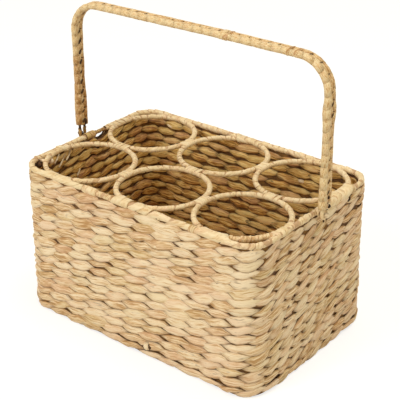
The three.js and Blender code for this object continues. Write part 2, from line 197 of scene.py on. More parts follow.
def compose(tree, x, y, z):
    return add(tree, "ShaderNodeCombineXYZ", {"X": x, "Y": y, "Z": z})["Vector"]


def chance(tree, low, high, key, seed):
    """A random number for each value of key."""
    inputs = {"Min": low, "Max": high, "ID": key, "Seed": seed}
    return add(tree, "FunctionNodeRandomValue", inputs, data_type="FLOAT")["Value"]


# %% [markdown]
# The photograph has soft light from the front and above, with the right side a little darker, on a white
# ground. The lamps stay at a plain level, so that a leaf colour renders about as it is written. The
# white comes from the floor and the world as the camera sees them, not from more light on the object.

# %% Floor, world and lamps
FLOOR_SIZE = 6.0
FLOOR_ALBEDO = 0.75
FLOOR_SEEN_SHADE = -0.3
FLOOR_SEEN_GLOW = 0.7
WORLD_STRENGTH = 0.5
WORLD_TINT = (1.0, 0.91, 0.67)
WHITE = (1.0, 1.0, 1.0)
LAMPS = {
    "key": {"place": (-0.7, -2.35, 1.8), "size": 1.2, "watts": 30.5},
    "fill": {"place": (2.2, -0.7, 1.3), "size": 1.6, "watts": 5.4, "colour": (1.0, 0.93, 0.74)},
    "top": {"place": (0.4, 0.35, 2.35), "size": 1.5, "watts": 17},
}


def seen_straight(tree):
    """1 for rays from the camera, a mirror or glass, and 0 for rays that light a surface."""
    path = add(tree, "ShaderNodeLightPath")
    direct = path["Is Camera Ray"] + path["Is Glossy Ray"]
    return direct.math("ADD", path["Is Transmission Ray"], clamp=True)


world = bpy.data.worlds.new("white room")
bpy.context.scene.world = world
world.use_nodes = True
t = world.node_tree
t.nodes.clear()
seen = seen_straight(t)
strength = seen * (1 - WORLD_STRENGTH) + WORLD_STRENGTH
tint = [seen * (1 - share) + share for share in WORLD_TINT]
sky = add(t, "ShaderNodeBackground", {"Strength": strength, "Color": compose(t, *tint)})
add(t, "ShaderNodeOutputWorld", {"Surface": sky["Background"]})

floor_material = bpy.data.materials.new("pale floor")
floor_material.use_nodes = True
t = floor_material.node_tree
t.nodes.clear()
seen = seen_straight(t)
shade = seen * FLOOR_SEEN_SHADE + FLOOR_ALBEDO
matt = add(t, "ShaderNodeBsdfDiffuse", {"Color": compose(t, shade, shade, shade)})
glow = add(t, "ShaderNodeEmission", {"Strength": seen * FLOOR_SEEN_GLOW})
both = add(t, "ShaderNodeAddShader")
join(t, matt["BSDF"], both.node.inputs[0])
join(t, glow["Emission"], both.node.inputs[1])
add(t, "ShaderNodeOutputMaterial", {"Surface": both["Shader"]})

floor_mesh = bpy.data.meshes.new("floor")
reach = FLOOR_SIZE / 2
corners = [(-reach, -reach, 0), (reach, -reach, 0), (reach, reach, 0), (-reach, reach, 0)]
floor_mesh.from_pydata(corners, [], [(0, 1, 2, 3)])
floor_mesh.materials.append(floor_material)
floor = in_scene("floor", floor_mesh)

for name, lamp in LAMPS.items():
    light = bpy.data.lights.new(name, "AREA")
    light.shape = "DISK"
    light.size = lamp["size"]
    light.energy = lamp["watts"]
    light.color = lamp.get("colour", WHITE)
    holder = in_scene(name, light)
    holder.location = lamp["place"]
    holder.rotation_euler = (Vector(lamp["place"]) - RIM_CENTRE).to_track_quat("Z", "Y").to_euler()
bpy.context.scene.view_settings.view_transform = "Standard"
print("lamps", list(LAMPS))

# %% [markdown]
# Dried leaf is never one colour. Each strip has its own tone from cream to tan, fine fibres run along
# it, some of them paler, in part the leaf's own and in part a painted sheen, and here and there is a dark
# patch. Its edges are browner, and darker still right at the edge, where painted shade stands for the
# crevice between two strips. Its ends are darkened as painted shade where they dive under their
# neighbours. All the leaf materials share one shader group for this. It reads the strip's own UV map,
# with U along the fibres and V across them, and two random numbers that every strip carries as
# attributes, so no two strips look alike.

# %% Leaf shader group
LEAF_UV = "strip"
PALE = "#FDE8C6"
STRAW = "#EBC999"
TAN = "#BF9059"
BROWN = "#6B4320"
GREENISH = "#D2BF7C"
PINKISH = "#E9BA9A"


def linear(code):
    """A colour written as #RRGGBB, as linear values for a node."""
    shares = [int(code[i:i + 2], 16) / 255 for i in (1, 3, 5)]
    return [x / 12.92 if x <= 0.04045 else ((x + 0.055) / 1.055) ** 2.4 for x in shares] + [1]


def blend_colours(tree, factor, first, second):
    inputs = {"Factor": factor, "A": first, "B": second}
    return add(tree, "ShaderNodeMix", inputs, data_type="RGBA")["Result"]


def noise(tree, vector, scale=1.0, detail=3.0, roughness=0.55):
    inputs = {"Vector": vector, "Scale": scale, "Detail": detail, "Roughness": roughness}
    return add(tree, "ShaderNodeTexNoise", inputs)["Fac"]


def ramp(tree, value, low, high):
    """0 below low, 1 above high, and smooth between."""
    inputs = {"Value": value, "From Min": low, "From Max": high}
    return add(tree, "ShaderNodeMapRange", inputs, interpolation_type="SMOOTHSTEP")["Result"]


leaf_group, start, end = new_group("Dried leaf", "ShaderNodeTree", {
    "colour": ["Pale", "Straw", "Tan", "Brown"],
    "number": ["Fibre Length", "Fibre Count", "Fibre Contrast", "Blotches", "Edge Shade", "End Shade"],
}, {"colour": ["Colour"], "number": ["Roughness", "Height"]})
t = leaf_group
along, across, _ = add(t, "ShaderNodeUVMap", uv_map=LEAF_UV)["UV"].parts()
tone = add(t, "ShaderNodeAttribute", attribute_name="tone")["Fac"]
hue = add(t, "ShaderNodeAttribute", attribute_name="hue")["Fac"]
long_way = along * start["Fibre Length"]


def leaf_noise(stretch, width, key, **look):
    """Noise over one strip. key gives every strip a place of its own in the noise."""
    place = compose(leaf_group, long_way * stretch, across * width, hue * key)
    return noise(leaf_group, place, **look)


fibres = leaf_noise(1, start["Fibre Count"], 37)
threads = leaf_noise(1.4, start["Fibre Count"] * 3, 71, detail=2.0)
patches = leaf_noise(0.6, 1.5, 53, scale=1.6)
drift = leaf_noise(0.5, 1.2, 91, scale=1.3, detail=1.0)
edge = (across * 2 - 1).math("ABSOLUTE")
ends = (along * 2 - 1).math("ABSOLUTE").math("POWER", 5)

grain = (fibres - 0.5) * 2.4 + (threads - 0.5) * 1.6
lightness = tone * 0.75 + grain * start["Fibre Contrast"] + (patches - 0.5) * 1.4 + 0.24
shift = (drift - 0.5) * 1.6 + hue
coats = {
    "dark strips": (ramp(t, lightness * -1, -0.45, 0.0), start["Tan"]),
    "green cast": (ramp(t, shift, 0.65, 1.2) * 0.25, linear(GREENISH)),
    "pink cast": (ramp(t, shift * -1, -0.5, 0.1) * 0.36, linear(PINKISH)),
    # Pale threads: in part the leaf's own fibres, in part a painted sheen.
    "pale threads and painted sheen": (ramp(t, threads, 0.57, 0.7) * start["Fibre Contrast"] * 0.5, start["Pale"]),
    # Browner towards the edges: in part the leaf's own colour, in part painted shade.
    "browner edge and painted shade": (edge.math("POWER", 4) * start["Edge Shade"] * 0.6, start["Tan"]),
    # Painted shade: the thin dark crevice right at each strip's edge.
    "crease": (ramp(t, edge + (threads - 0.5) * 0.5, 0.86, 1.02) * start["Edge Shade"], start["Brown"]),
    "splits": (ramp(t, threads * -1, -0.4, -0.3) * start["Fibre Contrast"] * 0.55, start["Tan"]),
    "stains": (ramp(t, patches + (fibres - 0.5) * 0.4, 0.64, 0.78) * start["Blotches"], start["Brown"]),
    # Painted shade: the ends darken where the strips dive under their neighbours.
    "painted shade at tucked ends": (ends * start["End Shade"], start["Brown"]),
}
colour = blend_colours(t, ramp(t, lightness, 0.4, 0.95), start["Straw"], start["Pale"])
for share, coat in coats.values():
    colour = blend_colours(t, share, colour, coat)
join(t, colour, end.inputs["Colour"])
join(t, fibres * 0.25 + 0.5, end.inputs["Roughness"])
join(t, fibres * 0.7 + threads * 0.3, end.inputs["Height"])
print("leaf group has", len(leaf_group.nodes), "nodes")

# %% [markdown]
# Each finish places the leaf group with its own values. The woven rows are mixed in tone. Those inside
# the basket are a darker, browner copy of the same leaf, painted shade, and their ends are darkened more,
# also painted shade. The leaf on the rings and the rim is pale and smooth, with fewer stains. The
# Principled shader and the Bump node stay in the material, where the export can read them.

# %% Leaf materials
LEAF_RELIEF = 0.6 * MM


def new_material(name):
    material = bpy.data.materials.new(name)
    material.use_nodes = True
    return material, material.node_tree


def coat_shader(tree, colour, roughness, height, bump, depth):
    """Joins a look to the Principled shader of a material, and its height through a Bump node."""
    relief = add(tree, "ShaderNodeBump", {"Height": height, "Strength": bump, "Distance": depth})
    shader = tree.nodes["Principled BSDF"]
    join(tree, colour, shader.inputs["Base Color"])
    join(tree, roughness, shader.inputs["Roughness"])
    join(tree, relief["Normal"], shader.inputs["Normal"])
    return shader


def leaf_material(name, colours, bump, **values):
    """A leaf finish. Each name in values is an input of the leaf group, with underscores for spaces."""
    material, tree = new_material(name)
    look = {label: linear(code) for label, code in zip(("Pale", "Straw", "Tan", "Brown"), colours)}
    look.update({label.replace("_", " "): value for label, value in values.items()})
    leaf = use_group(tree, "ShaderNodeGroup", leaf_group, look)
    coat_shader(tree, leaf["Colour"], leaf["Roughness"], leaf["Height"], bump, LEAF_RELIEF)
    return material


woven_leaf = leaf_material(
    "woven leaf", (PALE, STRAW, TAN, BROWN), 0.6, Fibre_Length=2.2, Fibre_Count=8,
    Fibre_Contrast=1.25, Blotches=0.55, Edge_Shade=0.62, End_Shade=1.0,
)
# Painted shade: a darker, browner copy of the woven leaf, for the inside walls and the floor.
inner_leaf_painted_shade = leaf_material(
    "woven leaf inside", ("#FADA90", "#D6A452", "#925A1F", "#301704"), 0.6, Fibre_Length=2.2,
    Fibre_Count=7, Fibre_Contrast=1.2, Blotches=0.7, Edge_Shade=1.0, End_Shade=1.5,
)
wound_leaf = leaf_material(
    "wound leaf", ("#F5E0B8", "#EBCFA0", "#CDA26E", "#7E5029"), 0.35, Fibre_Length=5.0,
    Fibre_Count=3, Fibre_Contrast=0.6, Blotches=0.3, Edge_Shade=0.3, End_Shade=0.0,
)
grip_leaf = leaf_material(
    "grip leaf", ("#F3DCAE", "#E2BE88", "#B98A52", "#6A401B"), 0.35, Fibre_Length=9.0,
    Fibre_Count=3, Fibre_Contrast=0.8, Blotches=0.5, Edge_Shade=0.12, End_Shade=0.0,
)
print("leaf materials", [m.name for m in (woven_leaf, inner_leaf_painted_shade, wound_leaf, grip_leaf)])

# %% [markdown]
# The wire is black iron that shows only at the hinges and between the strands. Two noises give it the
# worn, brownish patches of bare iron. The buried parts of the weave are one dark leaf colour, in part the
# buried leaf and in part painted shade deep in the gaps. The same shader makes the pale knob and strands,
# where the knob's paleness is a painted glint on the iron, and the dark hollows between two strips, which
# are painted shade.

# %% Wire and buried leaf materials
WEAR_RELIEF = 0.2 * MM


def plain_material(name, codes, roughness, metallic, scale):
    """A material whose colour and roughness wander between two values over the piece."""
    material, tree = new_material(name)
    place = add(tree, "ShaderNodeTexCoord")["Object"]
    wander = ramp(tree, noise(tree, place, scale=scale, detail=5.0), 0.4, 0.65)
    grain = noise(tree, place, scale=scale * 6, detail=2.0)
    colour = blend_colours(tree, wander, linear(codes[0]), linear(codes[1]))
    shader = coat_shader(tree, colour, wander * 0.2 + roughness, grain, 0.2, WEAR_RELIEF)
    shader.inputs["Metallic"].default_value = metallic
    return material


dark_wire = plain_material("dark wire", ("#2A211B", "#5A4331"), 0.38, 0.75, 90)
# In part buried leaf, in part painted shade deep in the gaps between floats.
buried_leaf_and_gap_shade = plain_material("buried leaf", ("#5A3A1A", "#86602F"), 0.8, 0.0, 120)
# Pale: the loose strands' own leaf colour, and on the right pin's iron knob a painted glint.
knob_glint_and_pale_strands = plain_material("pale knob", ("#E3CFAC", "#B79A74"), 0.5, 0.0, 150)
# Painted shade: the dark hollows, the notches in the grip and the wire in the hinge slot.
hollow = plain_material("hollow", ("#33200F", "#5E3E20"), 0.8, 0.0, 200)
print("other materials", [m.name for m in (dark_wire, buried_leaf_and_gap_shade, knob_glint_and_pale_strands, hollow)])

# %% [markdown]
# Everything on this basket follows a line: the rows and the rim follow a rounded rectangle, the ring
# leaf a circle, the grip an arch. A Track holds such a line as close-set points and gives the point at
# any distance along it. The rim's size comes from the frame's own boxes, so its leaf fits the wire.

# %% Lines that the leaf follows
TRACK_STEP = 2 * MM
RIM_WIRE_RADIUS = 1.75 * MM
RIM_WIRE_FACET_REACH = RIM_WIRE_RADIUS * math.cos(math.pi / 8)
RIM_CORNER_RADIUS = 25 * MM
RING_RADIUS = 50.5 * MM
X_AXIS, Y_AXIS, Z_AXIS = Vector((1, 0, 0)), Vector((0, 1, 0)), Vector((0, 0, 1))

rim_low, rim_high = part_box("rim_wire")
RIM_HEIGHT = (rim_low.z + rim_high.z) / 2
RIM_HALF_LENGTH = rim_high.x - RIM_WIRE_FACET_REACH
RIM_HALF_WIDTH = rim_high.y - RIM_WIRE_FACET_REACH


class Track:
    """A line through points, measured along its length."""

    def __init__(self, points):
        self.points = points
        self.marks = [0.0]
        for before, after in zip(points, points[1:]):
            self.marks.append(self.marks[-1] + (after - before).length)
        self.length = self.marks[-1]

    def at(self, distance):
        distance = min(max(distance, 0.0), self.length)
        last = len(self.marks) - 2
        index = next((i for i, mark in enumerate(self.marks[1:]) if mark >= distance), last)
        share = (distance - self.marks[index]) / (self.marks[index + 1] - self.marks[index])
        return self.points[index].lerp(self.points[index + 1], share)

    def between(self, start, end):
        steps = max(2, round((end - start) / TRACK_STEP))
        return [self.at(start + (end - start) * i / steps) for i in range(steps + 1)]


def straight(start, end):
    """Close-set points on a straight line."""
    line = Track([start, end])
    return line.between(0, line.length)


def arc(centre, radius, start, end, first=X_AXIS, second=Y_AXIS):
    """Points on a circle between two angles, close enough for a smooth line."""
    steps = max(4, round(abs(end - start) * radius / TRACK_STEP))
    angles = [start + (end - start) * i / steps for i in range(steps + 1)]
    return [centre + (first * math.cos(a) + second * math.sin(a)) * radius for a in angles]


def rim_line(inset=0.0, height=0.0):
    """The rim's rounded rectangle from the middle of the front side, anticlockwise, and back."""
    radius = RIM_CORNER_RADIUS - inset
    x = RIM_HALF_LENGTH - RIM_CORNER_RADIUS
    y = RIM_HALF_WIDTH - RIM_CORNER_RADIUS
    points = [Vector((0, -RIM_HALF_WIDTH + inset, height))]
    for turn, (side, face) in enumerate([(1, -1), (1, 1), (-1, 1), (-1, -1)]):
        start = (turn - 1) * math.pi / 2
        points += arc(Vector((side * x, face * y, height)), radius, start, start + math.pi / 2)
    points.append(points[0].copy())
    dense = Track(points)
    return Track(dense.between(0, dense.length))


rim = rim_line(height=RIM_HEIGHT)
quarter_arc = RIM_CORNER_RADIUS * math.pi / 2
right_middle = RIM_HALF_LENGTH + RIM_HALF_WIDTH - 2 * RIM_CORNER_RADIUS + quarter_arc
left_middle = rim.length - right_middle
print("rim half sizes in mm", round(RIM_HALF_LENGTH / MM, 2), round(RIM_HALF_WIDTH / MM, 2),
      "length", round(rim.length / MM))

# %% [markdown]
# A helper turns a Track into the mesh that a Geometry Nodes modifier starts from: points joined by
# edges, nothing more. Each point may also carry a section vector, which says how far the leaf's
# section is drawn apart to take in a second wire, and how much it swells. The other helper puts a tree
# on such a mesh, sets its inputs by their identifiers, swaps the modifier for the mesh it makes, and
# says which body of the frame the piece rides on and which nodes it stands for.

# %% Helpers that grow a mesh from a line


def line_mesh(name, stretches, closed=False):
    """stretches: lists of (point, section) pairs. Each becomes one run of edges."""
    points, edges, sections = [], [], []
    for stretch in stretches:
        first = len(points)
        points += [point for point, _ in stretch]
        sections += [section for _, section in stretch]
        edges += [(i, i + 1) for i in range(first, len(points) - 1)]
        if closed:
            edges.append((len(points) - 1, first))
    mesh = bpy.data.meshes.new(name)
    mesh.from_pydata(points, edges, [])
    attribute = mesh.attributes.new("section", "FLOAT_VECTOR", "POINT")
    for item, section in zip(attribute.data, sections):
        item.vector = section
    return mesh


def plain(points):
    """Points with no second wire and no swelling."""
    return [(point, (0, 0, 0)) for point in points]


def finish_piece(piece, body, nodes):
    """The calls that tie a piece to the frame."""
    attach(piece, body)
    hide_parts(*nodes)
    print(piece.name, "has", len(piece.data.polygons), "faces")


def grow(name, stretches, tree, values, body, slot, nodes, closed=False):
    """Runs a tree on lines, keeps the result as a plain mesh, and ties it to the frame."""
    piece = in_scene(name, line_mesh(name + " lines", stretches, closed))
    modifier = piece.modifiers.new("grow", "NODES")
    modifier.node_group = tree
    for item in tree.interface.items_tree:
        if item.in_out == "INPUT" and item.name in values:
            modifier[item.identifier] = values[item.name]
    evaluated = piece.evaluated_get(bpy.context.evaluated_depsgraph_get())
    mesh = bpy.data.meshes.new_from_object(evaluated)
    piece.modifiers.remove(modifier)
    piece.data = mesh
    mesh.name = name
    finish_piece(piece, body, nodes)


# %% [markdown]
# The two big trees of this script, for the woven rows and for the wound leaf, have steps in common:
# numbers stored on the geometry and read back, random draws, pieces of a kit set on points, and a
# material at the end. Each of these steps is a function here.

# %% Helpers for geometry trees


def store(tree, geometry, name, value, domain="INSTANCE", kind="FLOAT"):
    inputs = {"Geometry": geometry, "Name": name, "Value": value}
    return add(tree, "GeometryNodeStoreNamedAttribute", inputs, domain=domain, data_type=kind)["Geometry"]


def recall(tree, name, kind="FLOAT"):
    return add(tree, "GeometryNodeInputNamedAttribute", {"Name": name}, data_type=kind)["Attribute"]


def drawer(tree, key, seed):
    """A function that draws a random number for each value of key. step tells the draws apart."""
    return lambda low, high, step: chance(tree, low, high, key, seed + step)


def set_out(tree, points, kit, kind, turn, size):
    pieces = add(tree, "GeometryNodeCollectionInfo", {
        "Collection": kit, "Separate Children": True, "Reset Children": True,
    })["Instances"]
    return add(tree, "GeometryNodeInstanceOnPoints", {
        "Points": points, "Instance": pieces, "Pick Instance": True,
        "Instance Index": kind, "Rotation": turn, "Scale": size,
    })["Instances"]


def dress(tree, geometry, start, end):
    """Gives the mesh its material and sends it to the group's output."""
    dressed = add(tree, "GeometryNodeSetMaterial", {"Geometry": geometry, "Material": start["Material"]})
    join(tree, dressed["Geometry"], end.inputs["Geometry"])


# %% [markdown]
# Leaf that bends round a corner is drawn flat first and bent last. In the flat drawing X runs along the
# line, and the bend group then puts each point where it belongs: it samples the line at X, and steps
# outwards and upwards from there. A Curve modifier would stretch the strips at a tight corner. Sampling
# the line keeps their thickness.

# %% The bend group
bend_group, start, end = new_group("Bend along a line", "GeometryNodeTree", {
    "geometry": ["Geometry", "Line"], "vector": ["Up"], "whole": ["Strand"],
    "number": ["Along", "Rise", "Outward"],
}, {"geometry": ["Geometry"]})
section = recall(bend_group, "section", "FLOAT_VECTOR")
sample = add(bend_group, "GeometryNodeSampleCurve", {
    "Curves": start["Line"], "Length": start["Along"], "Curve Index": start["Strand"], "Value": section,
}, mode="LENGTH", use_all_curves=False, data_type="FLOAT_VECTOR")
spread_in, spread_out, swell = sample["Value"].parts()
outside = start["Outward"].math("GREATER_THAN", 0.0)
spread = outside * (spread_in + spread_out) - spread_in
outward = sample["Tangent"].vector("CROSS_PRODUCT", start["Up"]).vector("NORMALIZE")
place = outward.vector("SCALE", scale=start["Outward"] * (swell + 1) + spread)
place = place.vector("ADD", start["Up"].vector("SCALE", scale=start["Rise"] * (swell + 1)))
place = place.vector("ADD", sample["Position"])
moved = add(bend_group, "GeometryNodeSetPosition", {"Geometry": start["Geometry"], "Position": place})
join(bend_group, moved["Geometry"], end.inputs["Geometry"])
print("bend group has", len(bend_group.nodes), "nodes")

# %% [markdown]
# A twined row is two strips of leaf that cross between one stake and the next, so each strip shows as a
# lens that dives under its neighbours at both ends. One such float is drawn: rings of seven points, five
# on the face and two behind, closed to a point at each end. Outside, its middle line rises from left to
# right, which gives the rope-like slant. Inside, it is nearly an even lens. Each kind has its own width,
# crease and crown: four are plain and three are folded, rolled or split, so that the rows don't look
# printed.

# %% The floats
ROW_PITCH = 10.9 * MM
FLOAT_PITCH = 28 * MM
FLOAT_HALF_LENGTH = 20.5 * MM
FLOAT_HALF_WIDTH = 5.4 * MM
FLOAT_TIP_RISE = 2.3 * MM
FLOAT_LONG_SLOPE = 0.36
FLOAT_SHORT_SLOPE = 0.31
FLOAT_CORNER = 1.1 * MM
FLOAT_CROWN = 1.6 * MM
FLOAT_DIVE = 1.3 * MM
FLOAT_BACK = 1.3 * MM
FLOAT_SPANS = 11
FLOAT_FULLNESS = 1.26
LEFT_DIVE = 0.4
RIGHT_DIVE = 1.25
LEFT_LAP = 1.1
EVEN_WIDTH = 0.82
EDGE_WAVE = 0.07
FOLD_HEIGHT = 0.5 * MM
FACE_SHARES = (-1, -0.6, 0, 0.6, 1)
BACK_SHARES = (0.5, -0.5)


def upper_edge(x):
    """Height of the float's upper edge: a long rise from the left tip, a rounded corner, a short fall."""
    rise = (x + FLOAT_HALF_LENGTH) * FLOAT_LONG_SLOPE - FLOAT_TIP_RISE
    fall = (FLOAT_HALF_LENGTH - x) * FLOAT_SHORT_SLOPE + FLOAT_TIP_RISE
    return -FLOAT_CORNER * math.log(math.exp(-rise / FLOAT_CORNER) + math.exp(-fall / FLOAT_CORNER))


def lens_edge(x):
    return FLOAT_HALF_WIDTH * max(1 - (x / FLOAT_HALF_LENGTH) ** 2, 0) ** 0.8


def ease_slant(slanted, even, slant):
    return even + (slanted - even) * slant


def float_ring(share, width, crease, crown, slant):
    """Seven points round the float at a share of its half length, from -1 to 1."""
    x = share * FLOAT_HALF_LENGTH
    upper = ease_slant(upper_edge(x), lens_edge(x), slant)
    lower = -ease_slant(upper_edge(-x), lens_edge(-x), slant)
    width *= ease_slant(1, EVEN_WIDTH, slant)
    wave = 1 + EDGE_WAVE * math.sin(3 * math.pi * share + 5 * width)
    half_width = (upper - lower) / 2 * width * wave * FLOAT_FULLNESS
    middle = (upper + lower) / 2
    x *= LEFT_LAP if share < 0 else 1
    dive = ease_slant(LEFT_DIVE if share < 0 else RIGHT_DIVE, 1, slant)
    depth = FLOAT_DIVE * (math.cos(share * math.pi / 2) ** 0.7 - 1) * dive
    thickness = FLOAT_CROWN * crown * max(half_width / FLOAT_HALF_WIDTH, 0) ** 0.6
    ring = []
    for side in FACE_SHARES:
        fold = crease * math.cos(side * math.pi * 1.5) * (0.7 - 0.3 * share) * FOLD_HEIGHT
        out = depth + thickness * (1 - abs(side) ** 2.4) + fold
        ring.append(Vector((x, middle + half_width * side, out)))
    for side in BACK_SHARES:
        ring.append(Vector((x, middle + half_width * side, depth - FLOAT_BACK)))
    return ring


def skin(shape, rings):
    """Smooth faces from each ring of vertices to the next, listed with their ring and their side."""
    made = []
    for k, (here, after) in enumerate(zip(rings, rings[1:])):
        for i in range(len(here)):
            j = (i + 1) % len(here)
            face = shape.faces.new((here[i], after[i], after[j], here[j]))
            face.smooth = True
            made.append((face, k, i))
    return made


def finished_mesh(name, shape):
    """The mesh of a bmesh, with its faces turned outwards."""
    bmesh.ops.recalc_face_normals(shape, faces=shape.faces)
    mesh = bpy.data.meshes.new(name)
    shape.to_mesh(mesh)
    shape.free()
    return mesh


def float_mesh(name, width, crease, crown, slant):
    shape = bmesh.new()
    strip_map = shape.loops.layers.uv.new(LEAF_UV)
    shares = [math.sin(math.pi / 2 * (2 * i / FLOAT_SPANS - 1)) for i in range(1, FLOAT_SPANS)]
    rings = [[shape.verts.new(p) for p in float_ring(s, width, crease, crown, slant)] for s in shares]
    across_of = {}
    for ring in rings:
        for vertex, side in zip(ring, FACE_SHARES + BACK_SHARES):
            across_of[vertex] = side / 2 + 0.5
    skin(shape, rings)
    for ring, share, lap, dive in ((rings[0], -1, LEFT_LAP, LEFT_DIVE), (rings[-1], 1, 1, RIGHT_DIVE)):
        depth = -FLOAT_DIVE * ease_slant(dive, 1, slant) - FLOAT_BACK / 2
        place = (share * FLOAT_HALF_LENGTH * lap, share * FLOAT_TIP_RISE * slant, depth)
        tip = shape.verts.new(place)
        for first, second in zip(ring, ring[1:] + ring[:1]):
            shape.faces.new((tip, first, second)).smooth = True
    for face in shape.faces:
        for loop in face.loops:
            along_share = loop.vert.co.x / FLOAT_HALF_LENGTH / 2 + 0.5
            loop[strip_map].uv = (along_share, across_of.get(loop.vert, 0.5))
    return finished_mesh(name, shape)


FLOAT_KINDS = {
    "even_creased": (0.97, 0.8, 0.9),
    "even_plain": (1.0, 0.0, 1.0),
    "even_slim": (0.88, 0.3, 1.2),
    "even_wide": (1.1, -0.5, 0.8),
    "ragged_folded": (1.02, -2.6, 0.8),
    "ragged_rolled": (0.88, 0.4, 1.5),
    "ragged_split": (0.96, 2.4, 0.7),
}
EVEN_KINDS = 4
RAGGED_KINDS = 3
SHORT_SIDE_COSINE = -0.38
INNER_SLANT = 0.3


def float_collection(name, slant):
    kit = bpy.data.collections.new(name)
    for label, (width, crease, crown) in FLOAT_KINDS.items():
        mesh = float_mesh(label, width, crease, crown, slant)
        kit.objects.link(bpy.data.objects.new(f"{label}_{name}", mesh))
    return kit


float_kit = float_collection("outside", 1.0)
inner_kit = float_collection("inside", INNER_SLANT)

# %% [markdown]
# The rows are a job for Geometry Nodes: the tree counts out the floats of every row, gives each a
# random size, tilt and kind from a fixed seed, and stores its tone. Near one place on the front, by the
# right corner, the tone is raised as a painted highlight. The instances are realised while they are
# still flat, pushed about by a little noise, and then bent round the basket. The floats are longer on
# the long sides than on the short ones, so the distance along the row is stretched by a sine.
# One plain float in nine is swapped for a folded one. On the short sides most of the outer floats, and
# some of the inner ones, are folded, rolled or split.

# %% The woven rows tree
SAG_REACH = 13 * MM
SAG_DEPTH = 3.6 * MM
SAG_FROM = 120 * MM
SAG_FULL = 170 * MM
HIGHLIGHT_REACH = 20 * MM
ROW_PLAY = 0.12
PLACE_PLAY = 0.09
TILT_PLAY = 0.08
ROLL_PLAY = 0.16
FOLDED_SHARE = 0.5
rows_tree, start, end = new_group("Woven rows", "GeometryNodeTree", {
    "geometry": ["Geometry"], "collection": ["Floats"], "material": ["Material"], "vector": ["Up"],
    "whole": ["Rows", "Floats Per Row", "Seed"],
    "number": ["Row Pitch", "First Row", "Row Step", "Surface", "Flare", "Roll", "Stretch", "Unevenness",
               "Ground", "Closed", "Corner", "Ragged", "Sag At", "Pale At", "Float Length"],
}, {"geometry": ["Geometry"]})
t = rows_tree
line = add(t, "GeometryNodeMeshToCurve", {"Mesh": start["Geometry"]})["Curve"]
length = add(t, "GeometryNodeCurveLength", {"Curve": line})["Length"]
number = add(t, "GeometryNodeInputIndex")["Index"]
draw = drawer(t, number, start["Seed"])
row = (number / start["Floats Per Row"]).math("FLOOR")
place_in_row = number - row * start["Floats Per Row"]
spacing = length / start["Floats Per Row"]
drift = row * start["Row Step"] + chance(t, -ROW_PLAY, ROW_PLAY, row, start["Seed"]) * spacing
along = (place_in_row + draw(-PLACE_PLAY, PLACE_PLAY, 0)) * spacing + drift
height = row * start["Row Pitch"] + start["First Row"]
points = add(t, "GeometryNodePoints", {
    "Count": start["Rows"] * start["Floats Per Row"],
    "Position": compose(t, along, height, 0.0),
})["Points"]

round_the_line = (along / length * (4 * math.pi)).math("COSINE")
ragged = draw(0.0, 1.0, 12).math("LESS_THAN", start["Ragged"])
short_side = round_the_line.math("LESS_THAN", SHORT_SIDE_COSINE) * ragged
long_side = short_side * -1 + 1
large = draw(0.0, 1.0, 9).math("GREATER_THAN", 0.9) * long_side * 0.25 + 1
tilt = draw(-TILT_PLAY, TILT_PLAY, 2) * (short_side * 1.4 + 1)
turn = compose(t, start["Roll"] + draw(-ROLL_PLAY, ROLL_PLAY, 1), 0.0, tilt)
size_along = spacing / FLOAT_PITCH * draw(1.0, 1.18, 3) * large * (short_side * 0.12 + 1)
size_up = draw(0.86, 1.1, 4) * large * (short_side * -0.02 + 1)
size = compose(t, size_along * start["Float Length"], size_up, draw(0.85, 1.3, 5))
pick = draw(0.0, 0.999, 6)
even_kind = (pick * (EVEN_KINDS + FOLDED_SHARE)).math("FLOOR")
ragged_kind = (pick * RAGGED_KINDS).math("FLOOR") + EVEN_KINDS
kind = even_kind * long_side + ragged_kind * short_side
floats = set_out(t, points, start["Floats"], kind, turn, size)
# Painted highlight: the tone is raised near one place by the front right corner.
from_highlight = (along - start["Pale At"]).math("ABSOLUTE")
painted_highlight = ramp(t, from_highlight * -1, -HIGHLIGHT_REACH, -HIGHLIGHT_REACH / 4) * 0.4
floats = store(t, floats, "tone", draw(0.0, 1.0, 7) + painted_highlight)
floats = store(t, floats, "hue", draw(0.0, 1.0, 8))
flat = add(t, "GeometryNodeRealizeInstances", {"Geometry": floats})["Geometry"]

flat_x, flat_y, flat_z = add(t, "GeometryNodeInputPosition")["Position"].parts()
on_row = compose(t, flat_x, flat_y, start["Seed"] * 1.0)
ripple = noise(t, on_row, scale=11.0, detail=1.0) - 0.5
waver = noise(t, on_row, scale=90.0, detail=1.0) - 0.5
lump = noise(t, compose(t, flat_x, flat_y * 1.6, flat_z), scale=120.0, detail=2.0) - 0.5
stretched = flat_x + (flat_x / length * (4 * math.pi)).math("SINE") * start["Stretch"]
rise = flat_y + (ripple + waver) * start["Unevenness"]
from_sag = (stretched - start["Sag At"]).math("ABSOLUTE")
sag = ramp(t, from_sag * -1, -SAG_REACH, -SAG_REACH / 3)
rise = rise - sag * ramp(t, rise, SAG_FROM, SAG_FULL) * SAG_DEPTH
half_rows = start["Rows"] * start["Row Pitch"] * 0.5
past_corner = (rise.math("ABSOLUTE") - half_rows + start["Corner"]).math("MAXIMUM", 0.0)
cut = (start["Corner"] * start["Corner"] - past_corner * past_corner).math("MAXIMUM", 0.0)
inset = start["Corner"] - cut.math("SQRT")
held = stretched.math("MAXIMUM", inset).math("MINIMUM", length - inset)
round_again = (stretched / length).math("FRACT") * length
lap = round_again * start["Closed"] + held * (start["Closed"] * -1 + 1)
out = flat_z + start["Surface"] + rise * start["Flare"] + lump * start["Unevenness"] * 0.8
bent = use_group(t, "GeometryNodeGroup", bend_group, {
    "Geometry": flat, "Line": line, "Up": start["Up"], "Along": lap,
    "Rise": rise.math("MAXIMUM", start["Ground"]), "Outward": out,
})
soft = add(t, "GeometryNodeSetShadeSmooth", {"Geometry": bent["Geometry"]})["Geometry"]
dress(t, soft, start, end)
print("woven rows tree has", len(t.nodes), "nodes")

